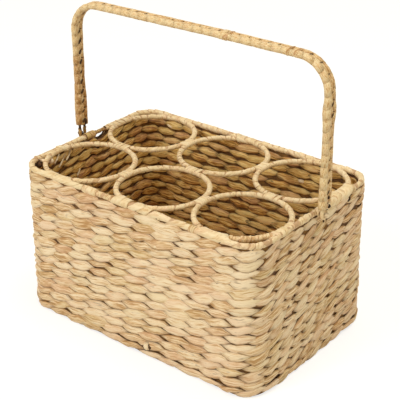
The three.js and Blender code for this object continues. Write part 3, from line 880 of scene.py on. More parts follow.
# %% [markdown]
# The wall has sixteen rows, and the lowest one is the border that the basket stands on. The same tree
# makes the outside and the inside: the inside line runs the other way round, so the same outward step
# points into the basket, and the slant looks the same from both sides, as it does on a real twined wall.
# Inside, the floats are shorter, and each row starts half a float further on than the row below it.

# %% Woven wall and border
WALL_OUTER_TOP = 3.25 * MM
wall_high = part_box("woven_wall")[1]
WALL_OUTER_FOOT = wall_high.x - RIM_HALF_LENGTH
WALL_TOP = wall_high.z
WALL_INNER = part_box("woven_floor")[1].x - RIM_HALF_LENGTH
ROWS_IN_ALL = 16
LONG_AND_SHORT = 13 * MM
INSIDE_FLOATS = 40
NOWHERE = -1.0
SLOT_PLACE = left_middle - 15 * MM
CORNER_HIGHLIGHT_PLACE = 138 * MM

outside_line = [plain(rim_line().points[:-1])]
inside_line = [plain(rim_line().points[:0:-1])]
flare = (WALL_OUTER_TOP - WALL_OUTER_FOOT) / WALL_TOP
first_row = WALL_TOP - ROW_PITCH * (ROWS_IN_ALL - 0.5)
wall_values = {
    "Floats": float_kit, "Rows": ROWS_IN_ALL - 1, "Row Pitch": ROW_PITCH, "Row Step": 1.4 * MM,
    "First Row": first_row + ROW_PITCH, "Flare": 0.0, "Roll": 0.0, "Stretch": LONG_AND_SHORT,
    "Unevenness": 3.2 * MM, "Ground": 0.4 * MM, "Up": Z_AXIS, "Closed": 1.0, "Corner": 0.0,
    "Ragged": 0.3, "Sag At": NOWHERE, "Pale At": NOWHERE, "Float Length": 1.0, "Material": inner_leaf_painted_shade,
}
outside = {
    "Floats Per Row": 42, "Flare": flare, "Surface": WALL_OUTER_FOOT - FLOAT_CROWN, "Material": woven_leaf,
    "Ragged": 0.92, "Sag At": SLOT_PLACE, "Pale At": CORNER_HIGHLIGHT_PLACE,
}


def weave(name, stretches, values, nodes, closed=True):
    """Woven rows on a line, with the wall's values wherever values has none."""
    grow(name, stretches, rows_tree, {**wall_values, **values}, "basket", "leaf_weave", nodes, closed)


weave("wall_weave_outside", outside_line, {**outside, "Roll": -0.07, "Seed": 11}, ["woven_wall"])
border = {**outside, "Rows": 1, "First Row": first_row, "Roll": 0.25, "Seed": 23}
weave("border_weave", outside_line, border, ["woven_border"])
weave("wall_weave_inside", inside_line, {
    "Floats": inner_kit, "Floats Per Row": INSIDE_FLOATS, "Surface": -WALL_INNER - FLOAT_CROWN, "Seed": 37,
    "Row Step": rim.length / INSIDE_FLOATS / 2, "Float Length": 0.84, "Unevenness": 4.5 * MM,
    "Sag At": rim.length - SLOT_PLACE,
}, ["woven_wall"])

# %% [markdown]
# Between the two faces of a woven wall lies the buried part of the strips. One dark band with a real
# thickness stands for all of it, so the gaps between the floats look deep and don't let daylight
# through. Its colour is in part the buried leaf and in part painted shade deep in the gaps. Its top
# dips beside the left hinge, where the real wall sags. The floor gets the same kind of core. The wires
# inside keep their imported shape.

# %% Core of the wall and the floor
CORE_OUTSIDE = 1.1 * MM
CORE_INSIDE = 3.0 * MM
CORE_TOP = WALL_TOP + 0.8 * MM
CORE_FOOT = 1.2 * MM
CORE_SAG = 1.5 * SAG_DEPTH
SAG_SPREAD = 1.3
FLOOR_CORE = (2.6 * MM, 6.4 * MM)


def ringed_piece(name, rings, material, smooth=False, closed=False):
    """A piece from rings of points. Closed, the last ring meets the first, and otherwise both get caps."""
    shape = bmesh.new()
    rows = [[shape.verts.new(point) for point in ring] for ring in rings]
    skin(shape, rows + rows[:1] if closed else rows)
    if not closed:
        shape.faces.new(rows[0])
        shape.faces.new(rows[-1])
    for face in shape.faces:
        face.smooth = smooth
    mesh = finished_mesh(name, shape)
    mesh.materials.append(material)
    return in_scene(name, mesh)


def band_rings(outside, inside, low, high):
    """Four corners round a band at every point of the rim line, between two offsets and two heights."""
    loop = rim_line().points[:-1]
    rings = []
    for i, point in enumerate(loop):
        outward = (loop[(i + 1) % len(loop)] - loop[i - 1]).cross(Z_AXIS).normalized()
        from_slot = abs(i * rim.length / len(loop) - SLOT_PLACE)
        near_slot = min(max(0, SAG_SPREAD - from_slot / SAG_REACH), 1)
        top = high - CORE_SAG * near_slot
        corners = ((outside, low), (outside, top), (-inside, top), (-inside, low))
        rings.append([point + outward * offset + Z_AXIS * height for offset, height in corners])
    return rings


wall_rings = band_rings(CORE_OUTSIDE, CORE_INSIDE, CORE_FOOT, CORE_TOP)
wall_core = ringed_piece("wall_core", wall_rings, buried_leaf_and_gap_shade, closed=True)
finish_piece(wall_core, "basket", ["woven_wall", "woven_border"])
floor_rings = [rim_line(CORE_INSIDE, height).points[:-1] for height in FLOOR_CORE]
floor_core = ringed_piece("floor_core", floor_rings, buried_leaf_and_gap_shade)
finish_piece(floor_core, "basket", ["woven_floor"])

# %% [markdown]
# The floor is twined too, in straight rows from end to end, with a face above and a face below. It is
# the same tree once more, on two straight lines. Its outer rows are cut to the rounded corners.

# %% Woven floor
FLOOR_ROWS = 18
FLOOR_UNDERSIDE = 1.2 * MM
FLOOR_SINK = 1.3 * FLOAT_CROWN
floor_low, floor_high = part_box("woven_floor")
floor_pitch = (floor_high.y - floor_low.y) / FLOOR_ROWS
floor_values = {
    "Closed": 0.0, "Rows": FLOOR_ROWS, "Floats Per Row": 11, "Row Pitch": floor_pitch,
    "First Row": floor_low.y + floor_pitch / 2, "Row Step": 0.0, "Ragged": 0.0, "Stretch": 0.0,
    "Ground": floor_low.y, "Up": Y_AXIS, "Unevenness": 1 * MM, "Surface": -FLOOR_SINK,
    "Corner": RIM_CORNER_RADIUS + WALL_INNER,
}
FLOOR_FACES = {
    "floor_weave_top": (1, floor_high.z, 51),
    "floor_weave_underside": (-1, floor_low.z + FLOOR_UNDERSIDE, 67),
}
for name, (side, height, seed) in FLOOR_FACES.items():
    ends = [Vector((side * x, 0, height)) for x in (floor_low.x, floor_high.x)]
    weave(name, [plain(straight(*ends))], {**floor_values, "Seed": seed}, ["woven_floor"], closed=False)

# %% [markdown]
# Leaf wound round a wire shows as a chain of turns, each a little tube whose front edge laps over the
# next. The turn is drawn at unit size, with a thick lip where the leaf looks like rope and a long slant
# where it lies in strands. Another kind is the figure of eight that binds the two handle rods: the strip
# goes round one rod, crosses over in the groove between them, goes round the other and comes back. The
# small dark hollows in that groove are flat lenses of painted shade, set like turns.

# %% Turns of wound leaf
TURN_SIDES = 12
TURN_STATIONS = ((-0.53, 0.9), (-0.44, 0.98), (0.0, 1.0), (0.4, 1.03), (0.5, 1.0), (0.55, 0.9))
ROD_FACET_REACH = 1.39 * MM
HANDLE_ROD_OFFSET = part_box("handle_rod_back")[0].y + ROD_FACET_REACH
BAR_LOW, BAR_HIGH = (corner.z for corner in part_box("handle_wrap_bar"))
GRIP_HALF_THICKNESS = (BAR_HIGH - BAR_LOW) / 2
STRIP_THICKNESS = 0.9 * MM
EIGHT_PITCH = 12.5 * MM
EIGHT_SPANS = 40
EIGHT_FIRST_LOOP = 0.42
EIGHT_WIDTH = 1.14
STRIP_SECTION = ((-1, 0.28), (0, 0.5), (1, 0.4), (1, -0.5), (-1, -0.5))
STRIP_ACROSS = (0, 0.5, 1, 1, 0, 0)
NOTCH_SIDES = 8
NOTCH_DEPTH = 0.1
NOTCH_CROWN = 0.06


def turn_mesh(name, slant, lip):
    """A turn of leaf round the X axis: one long, radius one."""
    shape = bmesh.new()
    strip_map = shape.loops.layers.uv.new(LEAF_UV)
    angles = [2 * math.pi * (i + 0.5) / TURN_SIDES for i in range(TURN_SIDES)]
    rings = []
    for x, radius in TURN_STATIONS:
        radius = 1 + (radius - 1) * lip
        ring = [(x + slant * math.cos(a), radius * math.cos(a), radius * math.sin(a)) for a in angles]
        rings.append([shape.verts.new(p) for p in ring])
    for face, k, i in skin(shape, rings):
        for loop, (side, station) in zip(face.loops, ((i, k), (i, k + 1), (i + 1, k + 1), (i + 1, k))):
            loop[strip_map].uv = (side / TURN_SIDES, station / (len(rings) - 1))
    shape.faces.new(rings[0])
    shape.faces.new(rings[-1])
    return finished_mesh(name, shape)


def eight_station(share, radius):
    """Place, outward direction and loop share on the figure of eight, at a share of one full turn."""
    if share < EIGHT_FIRST_LOOP:
        side, part = 1, share / EIGHT_FIRST_LOOP
    else:
        side, part = -1, (share - EIGHT_FIRST_LOOP) / (1 - EIGHT_FIRST_LOOP)
    lead = math.asin(radius / HANDLE_ROD_OFFSET)
    crossing = math.sqrt(HANDLE_ROD_OFFSET ** 2 - radius ** 2)
    wrapped = (math.pi + 2 * lead) * radius
    run = part * (2 * crossing + wrapped)
    if run < crossing or run > crossing + wrapped:
        rising = run < crossing
        away = run if rising else 2 * crossing + wrapped - run
        up = 1 if rising else -1
        direction = Vector((0, side * math.cos(lead), math.sin(lead) * up))
        normal = Vector((0, -side * math.sin(lead), math.cos(lead) * up))
        return direction * away, normal, part
    angle = math.pi / 2 + lead - (run - crossing) / radius
    normal = Vector((0, side * math.cos(angle), math.sin(angle)))
    return Vector((0, side * HANDLE_ROD_OFFSET, 0)) + normal * radius, normal, part


def eight_mesh(name, narrow, lean):
    """One full figure of eight: one long, and in units of the grip's half thickness across."""
    shape = bmesh.new()
    strip_map = shape.loops.layers.uv.new(LEAF_UV)
    rings = []
    for i in range(EIGHT_SPANS + 1):
        share = i / EIGHT_SPANS
        place, normal, part = eight_station(share, GRIP_HALF_THICKNESS - STRIP_THICKNESS / 2)
        width = narrow + (EIGHT_WIDTH - narrow) * math.sin(part * math.pi) ** 0.6
        ring = []
        for side, lift in STRIP_SECTION:
            point = (place + normal * lift * STRIP_THICKNESS) / GRIP_HALF_THICKNESS
            x = share - 0.5 + side * width / 2 + lean * point.z
            ring.append(shape.verts.new((x, point.y, point.z)))
        rings.append(ring)
    for face, k, i in skin(shape, rings):
        for loop, (step, side) in zip(face.loops, ((k, i), (k + 1, i), (k + 1, i + 1), (k, i + 1))):
            loop[strip_map].uv = (step / EIGHT_SPANS * 4, STRIP_ACROSS[side])
    shape.faces.new(rings[0])
    shape.faces.new(rings[-1])
    return finished_mesh(name, shape)


def notch_mesh(name, half_length, half_width, lean, place):
    """Two flat dark lenses of painted shade, one in the groove on each side of the grip."""
    shape = bmesh.new()
    angles = [2 * math.pi * i / NOTCH_SIDES for i in range(NOTCH_SIDES)]
    for side in (-1, 1):
        outline = []
        for a in angles:
            across = half_width * math.sin(a)
            x = half_length * math.cos(a) + lean * across
            outline.append(shape.verts.new((x, across, side * place)))
        for height in (place - NOTCH_DEPTH, place + NOTCH_CROWN):
            tip = shape.verts.new((0, 0, side * height))
            for first, second in zip(outline, outline[1:] + outline[:1]):
                shape.faces.new((first, second, tip))
    return finished_mesh(name, shape)


def kit_of(name, meshes):
    kit = bpy.data.collections.new(name)
    for mesh in meshes:
        kit.objects.link(bpy.data.objects.new(mesh.name, mesh))
    return kit


turn_kit = kit_of("turns", [
    turn_mesh("turn_plain", 0.25, 0.8),
    turn_mesh("turn_lapped", 0.5, 1.5),
    turn_mesh("turn_flat", 0.1, 0.5),
])
rope_kit = kit_of("rope turns", [
    turn_mesh("rope_turn_round", 0.3, 2.4),
    turn_mesh("rope_turn_lapped", 0.45, 3.0),
])
strand_kit = kit_of("strands", [
    turn_mesh("strand_long", 0.7, 0.5),
    turn_mesh("strand_short", 0.45, 0.8),
    turn_mesh("strand_slim", 0.9, 0.3),
])
leg_notches = kit_of("leg notches", [
    notch_mesh("notch_large", 0.2, 0.62, 0.25, 0.97),
    notch_mesh("notch_middle", 0.13, 0.48, 0.3, 0.94),
    notch_mesh("notch_small", 0.06, 0.3, 0.2, 0.88),
])
bar_notches = kit_of("bar notches", [
    notch_mesh("bar_notch_long", 0.05, 0.6, 0.1, 0.94),
    notch_mesh("bar_notch_none", 0.04, 0.1, 0.0, 0.5),
    notch_mesh("bar_notch_plain", 0.04, 0.1, 0.0, 0.4),
    notch_mesh("bar_notch_small", 0.05, 0.35, 0.1, 0.9),
])
eight_kit = kit_of("eights", [
    eight_mesh("eight_closed", 0.85, 0.1),
    eight_mesh("eight_full", 0.6, 0.1),
    eight_mesh("eight_open", 0.4, 0.1),
    eight_mesh("eight_slim", 0.3, 0.14),
])

# %% [markdown]
# The second tree sets turns along any number of lines at once. It counts how many fit each line, spaces
# them evenly, and gives each its own tone and a slightly different girth. One more input shifts the tone
# of the half that faces the back; on the grip and its knots it darkens that half as painted shade, away
# from the light. The section attribute of the line then draws the turns apart where the leaf takes in two
# wires, such as a ring that touches the rim.

# %% The wound leaf tree
wound_tree, start, end = new_group("Wound leaf", "GeometryNodeTree", {
    "geometry": ["Geometry"], "collection": ["Turns"], "material": ["Material"], "vector": ["Up"],
    "whole": ["Seed"],
    "number": ["Kinds", "Pitch", "Radius", "Unevenness", "Tone", "Tone Spread", "Side Tone"],
}, {"geometry": ["Geometry"]})
t = wound_tree
line = add(t, "GeometryNodeMeshToCurve", {"Mesh": start["Geometry"]})["Curve"]
strand_length = add(t, "GeometryNodeSplineLength")["Length"]
turns = (strand_length / start["Pitch"]).math("ROUND").math("MAXIMUM", 2)
even = add(t, "GeometryNodeResampleCurve", {"Curve": line, "Count": turns}, mode="COUNT")["Curve"]
place_in_line = add(t, "GeometryNodeSplineParameter")["Index"]
strand = add(t, "GeometryNodeCurveOfPoint")["Curve Index"]
span = strand_length / turns
even = store(t, even, "run", (place_in_line + 0.5) * span, "POINT")
even = store(t, even, "span", span, "POINT")
even = store(t, even, "strand", strand, "POINT", "INT")
points = add(t, "GeometryNodeCurveToPoints", {"Curve": even}, mode="EVALUATED")["Points"]
run, span, strand = recall(t, "run"), recall(t, "span"), recall(t, "strand", "INT")
laid_out = {"Geometry": points, "Position": compose(t, run, 0.0, 0.0)}
points = add(t, "GeometryNodeSetPosition", laid_out)["Geometry"]
number = add(t, "GeometryNodeInputIndex")["Index"]
draw = drawer(t, number, start["Seed"])
uneven = start["Unevenness"]
girth = start["Radius"] * (draw(-0.5, 0.5, 0) * uneven + 1)
kind = (draw(0.0, 1.0, 1) * start["Kinds"]).math("FLOOR")
turn = compose(t, 0.0, draw(-1.0, 1.0, 2) * uneven * 0.5, draw(-1.0, 1.0, 3) * uneven * 0.8)
turned = set_out(t, points, start["Turns"], kind, turn, compose(t, span, girth, girth))
turned = store(t, turned, "tone", draw(-0.5, 0.5, 4) * start["Tone Spread"] + start["Tone"])
turned = store(t, turned, "hue", draw(-0.5, 0.5, 5) * start["Tone Spread"] + 0.5)
flat = add(t, "GeometryNodeRealizeInstances", {"Geometry": turned})["Geometry"]
flat_x, flat_y, flat_z = add(t, "GeometryNodeInputPosition")["Position"].parts()
# Painted shade: a negative value darkens the half of each turn that faces the back.
far_side_shaded_tone = recall(t, "tone") + flat_y.math("GREATER_THAN", 0.0) * start["Side Tone"]
flat = store(t, flat, "tone", far_side_shaded_tone, "POINT")
bent = use_group(t, "GeometryNodeGroup", bend_group, {
    "Geometry": flat, "Line": line, "Up": start["Up"], "Along": flat_x,
    "Rise": flat_y, "Outward": flat_z, "Strand": strand,
})
dress(t, bent["Geometry"], start, end)
print("wound leaf tree has", len(t.nodes), "nodes")

# %% [markdown]
# Bare iron shows only at the hinges: the rods of the handle, the eyes that they end in, and the pins.
# A round wire is a Curve to Mesh of its middle line, so the bend of an eye is smooth. A pin is turned
# on the lathe, with a small domed knob that keeps the eye from slipping off. The arch sinks a little
# towards its left corner, as the real one does.

# %% Rods, eyes and pins
ROD_RADIUS = 1.5 * MM
EYE_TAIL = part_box("handle_rod_front")[0].z
EYE_BARE = 12 * MM
WIRE_SIDES = 14
LATHE_SIDES = 20
SHOULDER_GAP = 0.6 * MM
DOME_ANGLES = (0, 0.4, 0.75, 1.05, 1.3, 1.48)
KNOB_RADIUS = 3.1 * MM
GRIP_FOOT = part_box("handle_wrap_left_leg")[0].z
HANDLE_X = sum(corner.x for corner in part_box("handle_wrap_right_leg")) / 2
BAR_HEIGHT = (BAR_LOW + BAR_HIGH) / 2
HANDLE_CORNER = 34 * MM
LEFT_SINK = 3 * MM
LEVEL_FROM = 40 * MM
LEG_LEVEL = 260 * MM

wire_tree, start, end = new_group("Round wire", "GeometryNodeTree", {
    "geometry": ["Geometry"], "number": ["Radius"], "material": ["Material"],
}, {"geometry": ["Geometry"]})
t = wire_tree
line = add(t, "GeometryNodeMeshToCurve", {"Mesh": start["Geometry"]})["Curve"]
circle = {"Resolution": WIRE_SIDES, "Radius": start["Radius"]}
ring = add(t, "GeometryNodeCurvePrimitiveCircle", circle)["Curve"]
sweep = {"Curve": line, "Profile Curve": ring, "Fill Caps": True}
tube = add(t, "GeometryNodeCurveToMesh", sweep)["Mesh"]
dress(t, add(t, "GeometryNodeRealizeInstances", {"Geometry": tube})["Geometry"], start, end)


def lay_wire(name, stretches, radius, material, *place, closed=False):
    """A round wire on every line. place is its body, its slot, which is not used, and its nodes."""
    grow(name, stretches, wire_tree, {"Radius": radius, "Material": material}, *place, closed=closed)


def left_sink(point):
    """The real arch is a little lower at its left corner."""
    share = min(max((LEVEL_FROM - point.x) / (LEVEL_FROM + HANDLE_X), 0), 1)
    high = min(max((point.z - LEG_LEVEL) / (BAR_HEIGHT - LEG_LEVEL), 0), 1)
    return LEFT_SINK * share * high


def handle_arch(left_foot, right_foot, y=0.0):
    """Points from the left foot of the handle over the bar to the right foot."""
    x, z = HANDLE_X - HANDLE_CORNER, BAR_HEIGHT - HANDLE_CORNER
    points = [Vector((-HANDLE_X, y, left_foot))]
    points += arc(Vector((-x, y, z)), HANDLE_CORNER, math.pi, math.pi / 2, X_AXIS, Z_AXIS)
    points += arc(Vector((x, y, z)), HANDLE_CORNER, math.pi / 2, 0, X_AXIS, Z_AXIS)
    points.append(Vector((HANDLE_X, y, right_foot)))
    rough = Track(points)
    return [point - Z_AXIS * left_sink(point) for point in rough.between(0, rough.length)]


def eye_line(x):
    """Down one rod, under the pin and up the other rod."""
    centre = Vector((x, 0, RIM_HEIGHT))
    bend = arc(centre, -HANDLE_ROD_OFFSET, 0, math.pi, Y_AXIS, Z_AXIS)
    tails = [Vector((x, point.y, EYE_TAIL)) for point in (bend[0], bend[-1])]
    return [tails[0], *bend, tails[1]]


def lathe_ring(x, radius):
    angles = [2 * math.pi * i / LATHE_SIDES for i in range(LATHE_SIDES)]
    return [Vector((x, radius * math.cos(a), RIM_HEIGHT + radius * math.sin(a))) for a in angles]


arches = [plain(handle_arch(EYE_TAIL, EYE_TAIL, side * HANDLE_ROD_OFFSET)) for side in (-1, 1)]
lay_wire("handle_rods", arches, ROD_RADIUS, dark_wire,
         "handle", "frame_wire", ["handle_rod_front", "handle_rod_back"])
eye_lines = [plain(eye_line(side * HANDLE_X)) for side in (-1, 1)]
lay_wire("handle_eyes", eye_lines, ROD_RADIUS, dark_wire,
         "handle", "hinge_metal", ["handle_eye_left", "handle_eye_right"])

# The right pin's knob is pale as a painted glint on the iron.
for name, side, finish in (("left", -1, dark_wire), ("right", 1, knob_glint_and_pale_strands)):
    pin_low, pin_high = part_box(f"hinge_pin_{name}")
    inner, outer = sorted((abs(pin_low.x), abs(pin_high.x)))
    shoulder = HANDLE_X + ROD_RADIUS + SHOULDER_GAP
    reach = outer - shoulder
    dome = [(shoulder + reach * math.sin(a), KNOB_RADIUS * math.cos(a)) for a in DOME_ANGLES]
    stations = [(inner, ROD_RADIUS), (shoulder, ROD_RADIUS), *dome]
    rings = [lathe_ring(side * x, radius) for x, radius in stations]
    pin = ringed_piece(f"hinge_pin_{name}_turned", rings, finish, smooth=True)
    finish_piece(pin, "basket", [f"hinge_pin_{name}"])

# %% [markdown]
# The leaf on the rim is wound in several ways: plain turns for most of it, long strands at the front
# left, long smooth turns on the right of the front side with one small knot among them, a tight rope at
# the front right corner and a broad band behind the right hinge. Where one of the ten ring contacts
# falls, the strip goes round both wires, so the rim is broad there and narrow between. A plain tube of
# leaf runs inside, so that no light shows between two turns.

# %% Rim leaf
RIM_WRAP_RADIUS = 3.25 * MM
RING_WRAP_RADIUS = 2.9 * MM
RING_GAP = 3.45 * MM
RING_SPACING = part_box("ring_wire_front_right")[1].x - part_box("ring_wire_front_middle")[1].x
RING_ROW = RING_SPACING / 2
CONTACT_REACH = 17 * MM
BARE_BEHIND = 28 * MM
ROPE_PITCH = 3.7 * MM
RIM_LUMPS = 7 * MM
RIM_LUMP = 0.06
ROLL_FRONT = 6 * MM
ROLL_BEHIND = 9 * MM
KNOT_BAND = (-64 * MM, -50 * MM, 5 * MM, 0.28)
MIDDLE_BAND = (-22 * MM, 38 * MM, 14 * MM, 0.3)
RIGHT_BAND = (94 * MM, 121 * MM, 6 * MM, 0.22)
HINGE_BAND = (14 * MM, 66 * MM, 8 * MM, 0.52)
ROPE_START = -46 * MM
ROPE_END = -24 * MM
STRAND_START = -172 * MM
STRAND_END = -66 * MM
CORNER_ROPE_START = 152 * MM
BROAD_LENGTH = 74 * MM
RIM_HEART_RADIUS = 2.95 * MM
RIM_KNOT_RADIUS = RIM_WRAP_RADIUS + 0.5 * MM
RIM_KNOT = (81 * MM, 91 * MM)
RING_HEART_RADIUS = 2.55 * MM


def swell_between(place, start, end, ease, amount):
    """A swell that is full between start and end and eases out on both sides."""
    inside = min(max((place - start) / ease + 1, 0), max((end - place) / ease + 1, 0), 1)
    return amount * inside * inside * (3 - 2 * inside)


def wire_gap(reach):
    """How far a ring's wire is from the rim wire, at a distance along the rim from where they touch."""
    return RING_GAP + RING_RADIUS - math.sqrt(RING_RADIUS ** 2 - reach ** 2)


def rim_section(point):
    """Spread inwards, spread outwards and swell of the leaf at a point of the rim."""
    on_long_side = abs(point.y) > RIM_HALF_WIDTH - 1 * MM
    on_short_side = abs(point.x) > RIM_HALF_LENGTH - 1 * MM
    reach = 1.0
    if on_long_side:
        reach = min(abs(point.x - centre) for centre in (-RING_SPACING, 0, RING_SPACING))
    elif on_short_side:
        reach = abs(abs(point.y) - RING_ROW)
    spread = wire_gap(reach) if reach < CONTACT_REACH else 0.0
    swell = RIM_LUMP * math.sin(point.x / RIM_LUMPS) * math.cos(point.y / RIM_LUMPS)
    if on_long_side and point.y < 0:
        swell += swell_between(point.x, *KNOT_BAND)
        swell += swell_between(point.x, *MIDDLE_BAND)
        swell += swell_between(point.x, *RIGHT_BAND)
    elif on_short_side and point.x > 0:
        swell += swell_between(point.y, *HINGE_BAND)
    return (spread, 0.0, swell)


def rim_stretch(start, end):
    return [(point, rim_section(point)) for point in rim.between(start, end)]


strand_start = rim.length + STRAND_START
strand_end = rim.length + STRAND_END
wound_values = {
    "Turns": turn_kit, "Kinds": 2.99, "Up": Z_AXIS, "Radius": RIM_WRAP_RADIUS, "Unevenness": 0.16,
    "Tone": 0.5, "Tone Spread": 0.5, "Side Tone": 0.0, "Material": wound_leaf,
}


def wind(name, stretches, values, nodes, body="basket", slot="rim_leaf"):
    """Wound leaf on every line, with the rim's values wherever values has none."""
    grow(name, stretches, wound_tree, {**wound_values, **values}, body, slot, nodes)


long_runs = [
    rim_stretch(right_middle + BROAD_LENGTH, left_middle - BARE_BEHIND),
    rim_stretch(left_middle + ROLL_FRONT, strand_start),
    rim_stretch(strand_end, rim.length + ROPE_START),
]
wind("rim_leaf", long_runs, {"Pitch": 7.5 * MM, "Seed": 101}, [
    "rim_wrap_front", "rim_wrap_back", "rim_wrap_left_front", "rim_wrap_left_back",
    "rim_wrap_right_front", "rim_wrap_right_back",
])
wind("rim_strands", [rim_stretch(strand_start, strand_end)], {
    "Turns": strand_kit, "Pitch": 12 * MM, "Unevenness": 0.08, "Tone": 0.6, "Seed": 131,
}, ["rim_wrap_front", "rim_wrap_left_front"])
wind("rim_corner_rope", [rim_stretch(CORNER_ROPE_START, right_middle)], {
    "Turns": rope_kit, "Kinds": 1.99, "Pitch": 4.2 * MM, "Unevenness": 0.3, "Seed": 141,
}, ["rim_wrap_right_front"])
wind("rim_broad_band", [rim_stretch(right_middle, right_middle + BROAD_LENGTH)], {
    "Pitch": 8.5 * MM, "Unevenness": 0.36, "Tone": 0.6, "Seed": 151,
}, ["rim_wrap_right_back"])
smooth_runs = [rim_stretch(rim.length + ROPE_END, rim.length), rim_stretch(0, CORNER_ROPE_START)]
wind("rim_smooth_band", smooth_runs, {
    "Pitch": 13.5 * MM, "Unevenness": 0.07, "Tone": 0.58, "Seed": 163,
}, ["rim_wrap_front"])
wind("rim_knot", [rim_stretch(*RIM_KNOT)], {
    "Pitch": 2.6 * MM, "Radius": RIM_KNOT_RADIUS, "Unevenness": 0.35, "Tone": 0.35,
    "Tone Spread": 1.0, "Seed": 171,
}, ["rim_wrap_front"])
heart_lines = [
    plain(rim.between(0, left_middle - BARE_BEHIND)),
    plain(rim.between(left_middle + ROLL_FRONT, rim.length)),
]
lay_wire("rim_heart", heart_lines, RIM_HEART_RADIUS, wound_leaf,
         "basket", "rim_leaf", ["rim_wrap_front", "rim_wrap_back"])

# %% [markdown]
# Each bottle ring has its own leaf between the places where it is bound to a neighbour. Seven ties bind
# the rings to each other, four along the rows and three across. A tie is a short line between two rings
# with its section drawn apart both ways, so the leaf goes round both wires. The rings have a tube of
# leaf inside, as the rim has. The tight rope comes back in two places: on the front side of the rim, left
# of its middle, and on the outer corner of the front right ring.

# %% Ring leaf and ties
TIE_REACH = 9.5 * MM
RING_PITCH = 6 * MM
TIE_PITCH = 3.2 * MM
TIE_GAP = 3.05 * MM
ROWS = {"front": -1, "back": 1}
COLUMNS = {"left": -1, "middle": 0, "right": 1}
contact_angle = math.asin(CONTACT_REACH / RING_RADIUS)
tie_angle = math.asin(TIE_REACH / RING_RADIUS)


def ring_stretches(centre, rim_sides):
    """The leaf between the four contacts of a ring. rim_sides are the quarter turns that face the rim."""
    stretches = []
    for quarter_turn in range(4):
        reaches = [contact_angle if side % 4 in rim_sides else tie_angle
                   for side in (quarter_turn, quarter_turn + 1)]
        start = quarter_turn * math.pi / 2 + reaches[0]
        end = (quarter_turn + 1) * math.pi / 2 - reaches[1]
        stretches.append(plain(arc(centre, RING_RADIUS, start, end)))
    return stretches


def tie_line(centre, direction):
    """Across the place where two rings touch. The leaf is drawn apart there, to go round both wires."""
    stretch = []
    for point in straight(centre - direction * TIE_REACH, centre + direction * TIE_REACH):
        spread = TIE_GAP + (point - centre).length ** 2 / (2 * RING_RADIUS)
        stretch.append((point, (spread, spread, 0)))
    return stretch


seed = 200
ring_circles = []
rope_stretches = [rim_stretch(rim.length + ROPE_START, rim.length + ROPE_END)]
for row, side in ROWS.items():
    for column, place in COLUMNS.items():
        centre = Vector((place * RING_SPACING, side * RING_ROW, RIM_HEIGHT))
        rim_sides = [side % 4] + ([] if place == 0 else [1 - place])
        seed += 10
        stretches = ring_stretches(centre, rim_sides)
        ring_circles.append(plain(arc(centre, RING_RADIUS, 0, 2 * math.pi)[:-1]))
        if (row, column) == ("front", "right"):
            rope_stretches.append(stretches.pop())
        nodes = [f"ring_wrap_{row}_{column}"]
        nodes += [f"ring_wrap_{row}_{column}_corner"] if place else []
        values = {"Pitch": RING_PITCH, "Radius": RING_WRAP_RADIUS, "Seed": seed}
        wind(f"ring_leaf_{row}_{column}", stretches, values, nodes)

lay_wire("ring_hearts", ring_circles, RING_HEART_RADIUS, wound_leaf,
         "basket", "rim_leaf", [f"ring_wrap_{row}_middle" for row in ROWS], closed=True)
wind("rope_turns", rope_stretches, {
    "Turns": rope_kit, "Kinds": 1.99, "Pitch": ROPE_PITCH, "Unevenness": 0.2, "Tone": 0.2, "Seed": 290,
}, ["rim_wrap_front", "ring_wrap_front_right_corner"])

ties = {}
for row, side in ROWS.items():
    for name, place in (("left_to_middle", -0.5), ("middle_to_right", 0.5)):
        centre = Vector((place * RING_SPACING, side * RING_ROW, RIM_HEIGHT))
        ties[f"ring_tie_{row}_{name}"] = tie_line(centre, Y_AXIS)
for name, place in COLUMNS.items():
    ties[f"ring_tie_across_{name}"] = tie_line(Vector((place * RING_SPACING, 0, RIM_HEIGHT)), X_AXIS)
tie_values = {"Pitch": TIE_PITCH, "Radius": RING_WRAP_RADIUS, "Seed": 301}
wind("ring_ties", list(ties.values()), tie_values, list(ties))

# %% [markdown]
# At the hinges the leaf is worn. On the left the rim wire has only a thin brown strip behind the pin and
# a thick roll of leaf over the pin's root, and a dark wire shows in the slot below. On the right a scrap
# of leaf covers the pin's root. Both eyes still carry some leaf.

# %% Worn leaf at the hinges
THIN_RADIUS = 2.3 * MM
ROLL_RADIUS = 4.3 * MM
ROOT_RADIUS = 3.1 * MM
ROOT_END = 166.3 * MM
EYE_LEAF_RADIUS = 2.0 * MM
SLOT_RADIUS = 1.0 * MM
SLOT_WIRE = ((3, 173.5), (7, 171.3), (12, 170.6), (18, 171), (23, 172.6), (26, 175.5))
worn_leaf = leaf_material(
    "worn leaf", ("#D8B777", "#B48C4E", "#8A6034", "#4A2E14"), 0.6, Fibre_Length=5.0,
    Fibre_Count=4, Fibre_Contrast=1.2, Blotches=0.7, Edge_Shade=0.7, End_Shade=0.0,
)
wind("hinge_leaf_thin", [rim_stretch(left_middle - BARE_BEHIND, left_middle - ROLL_BEHIND)], {
    "Turns": rope_kit, "Kinds": 1.99, "Pitch": 4.2 * MM, "Radius": THIN_RADIUS,
    "Unevenness": 0.35, "Tone": 0.3, "Material": worn_leaf, "Seed": 501,
}, ["rim_wrap_left_back"])
wind("hinge_leaf_roll", [rim_stretch(left_middle - ROLL_BEHIND, left_middle + ROLL_FRONT)], {
    "Pitch": 7.5 * MM, "Radius": ROLL_RADIUS, "Unevenness": 0.1, "Tone": 0.9,
    "Tone Spread": 0.1, "Material": worn_leaf, "Seed": 511,
}, ["rim_wrap_left_front"])
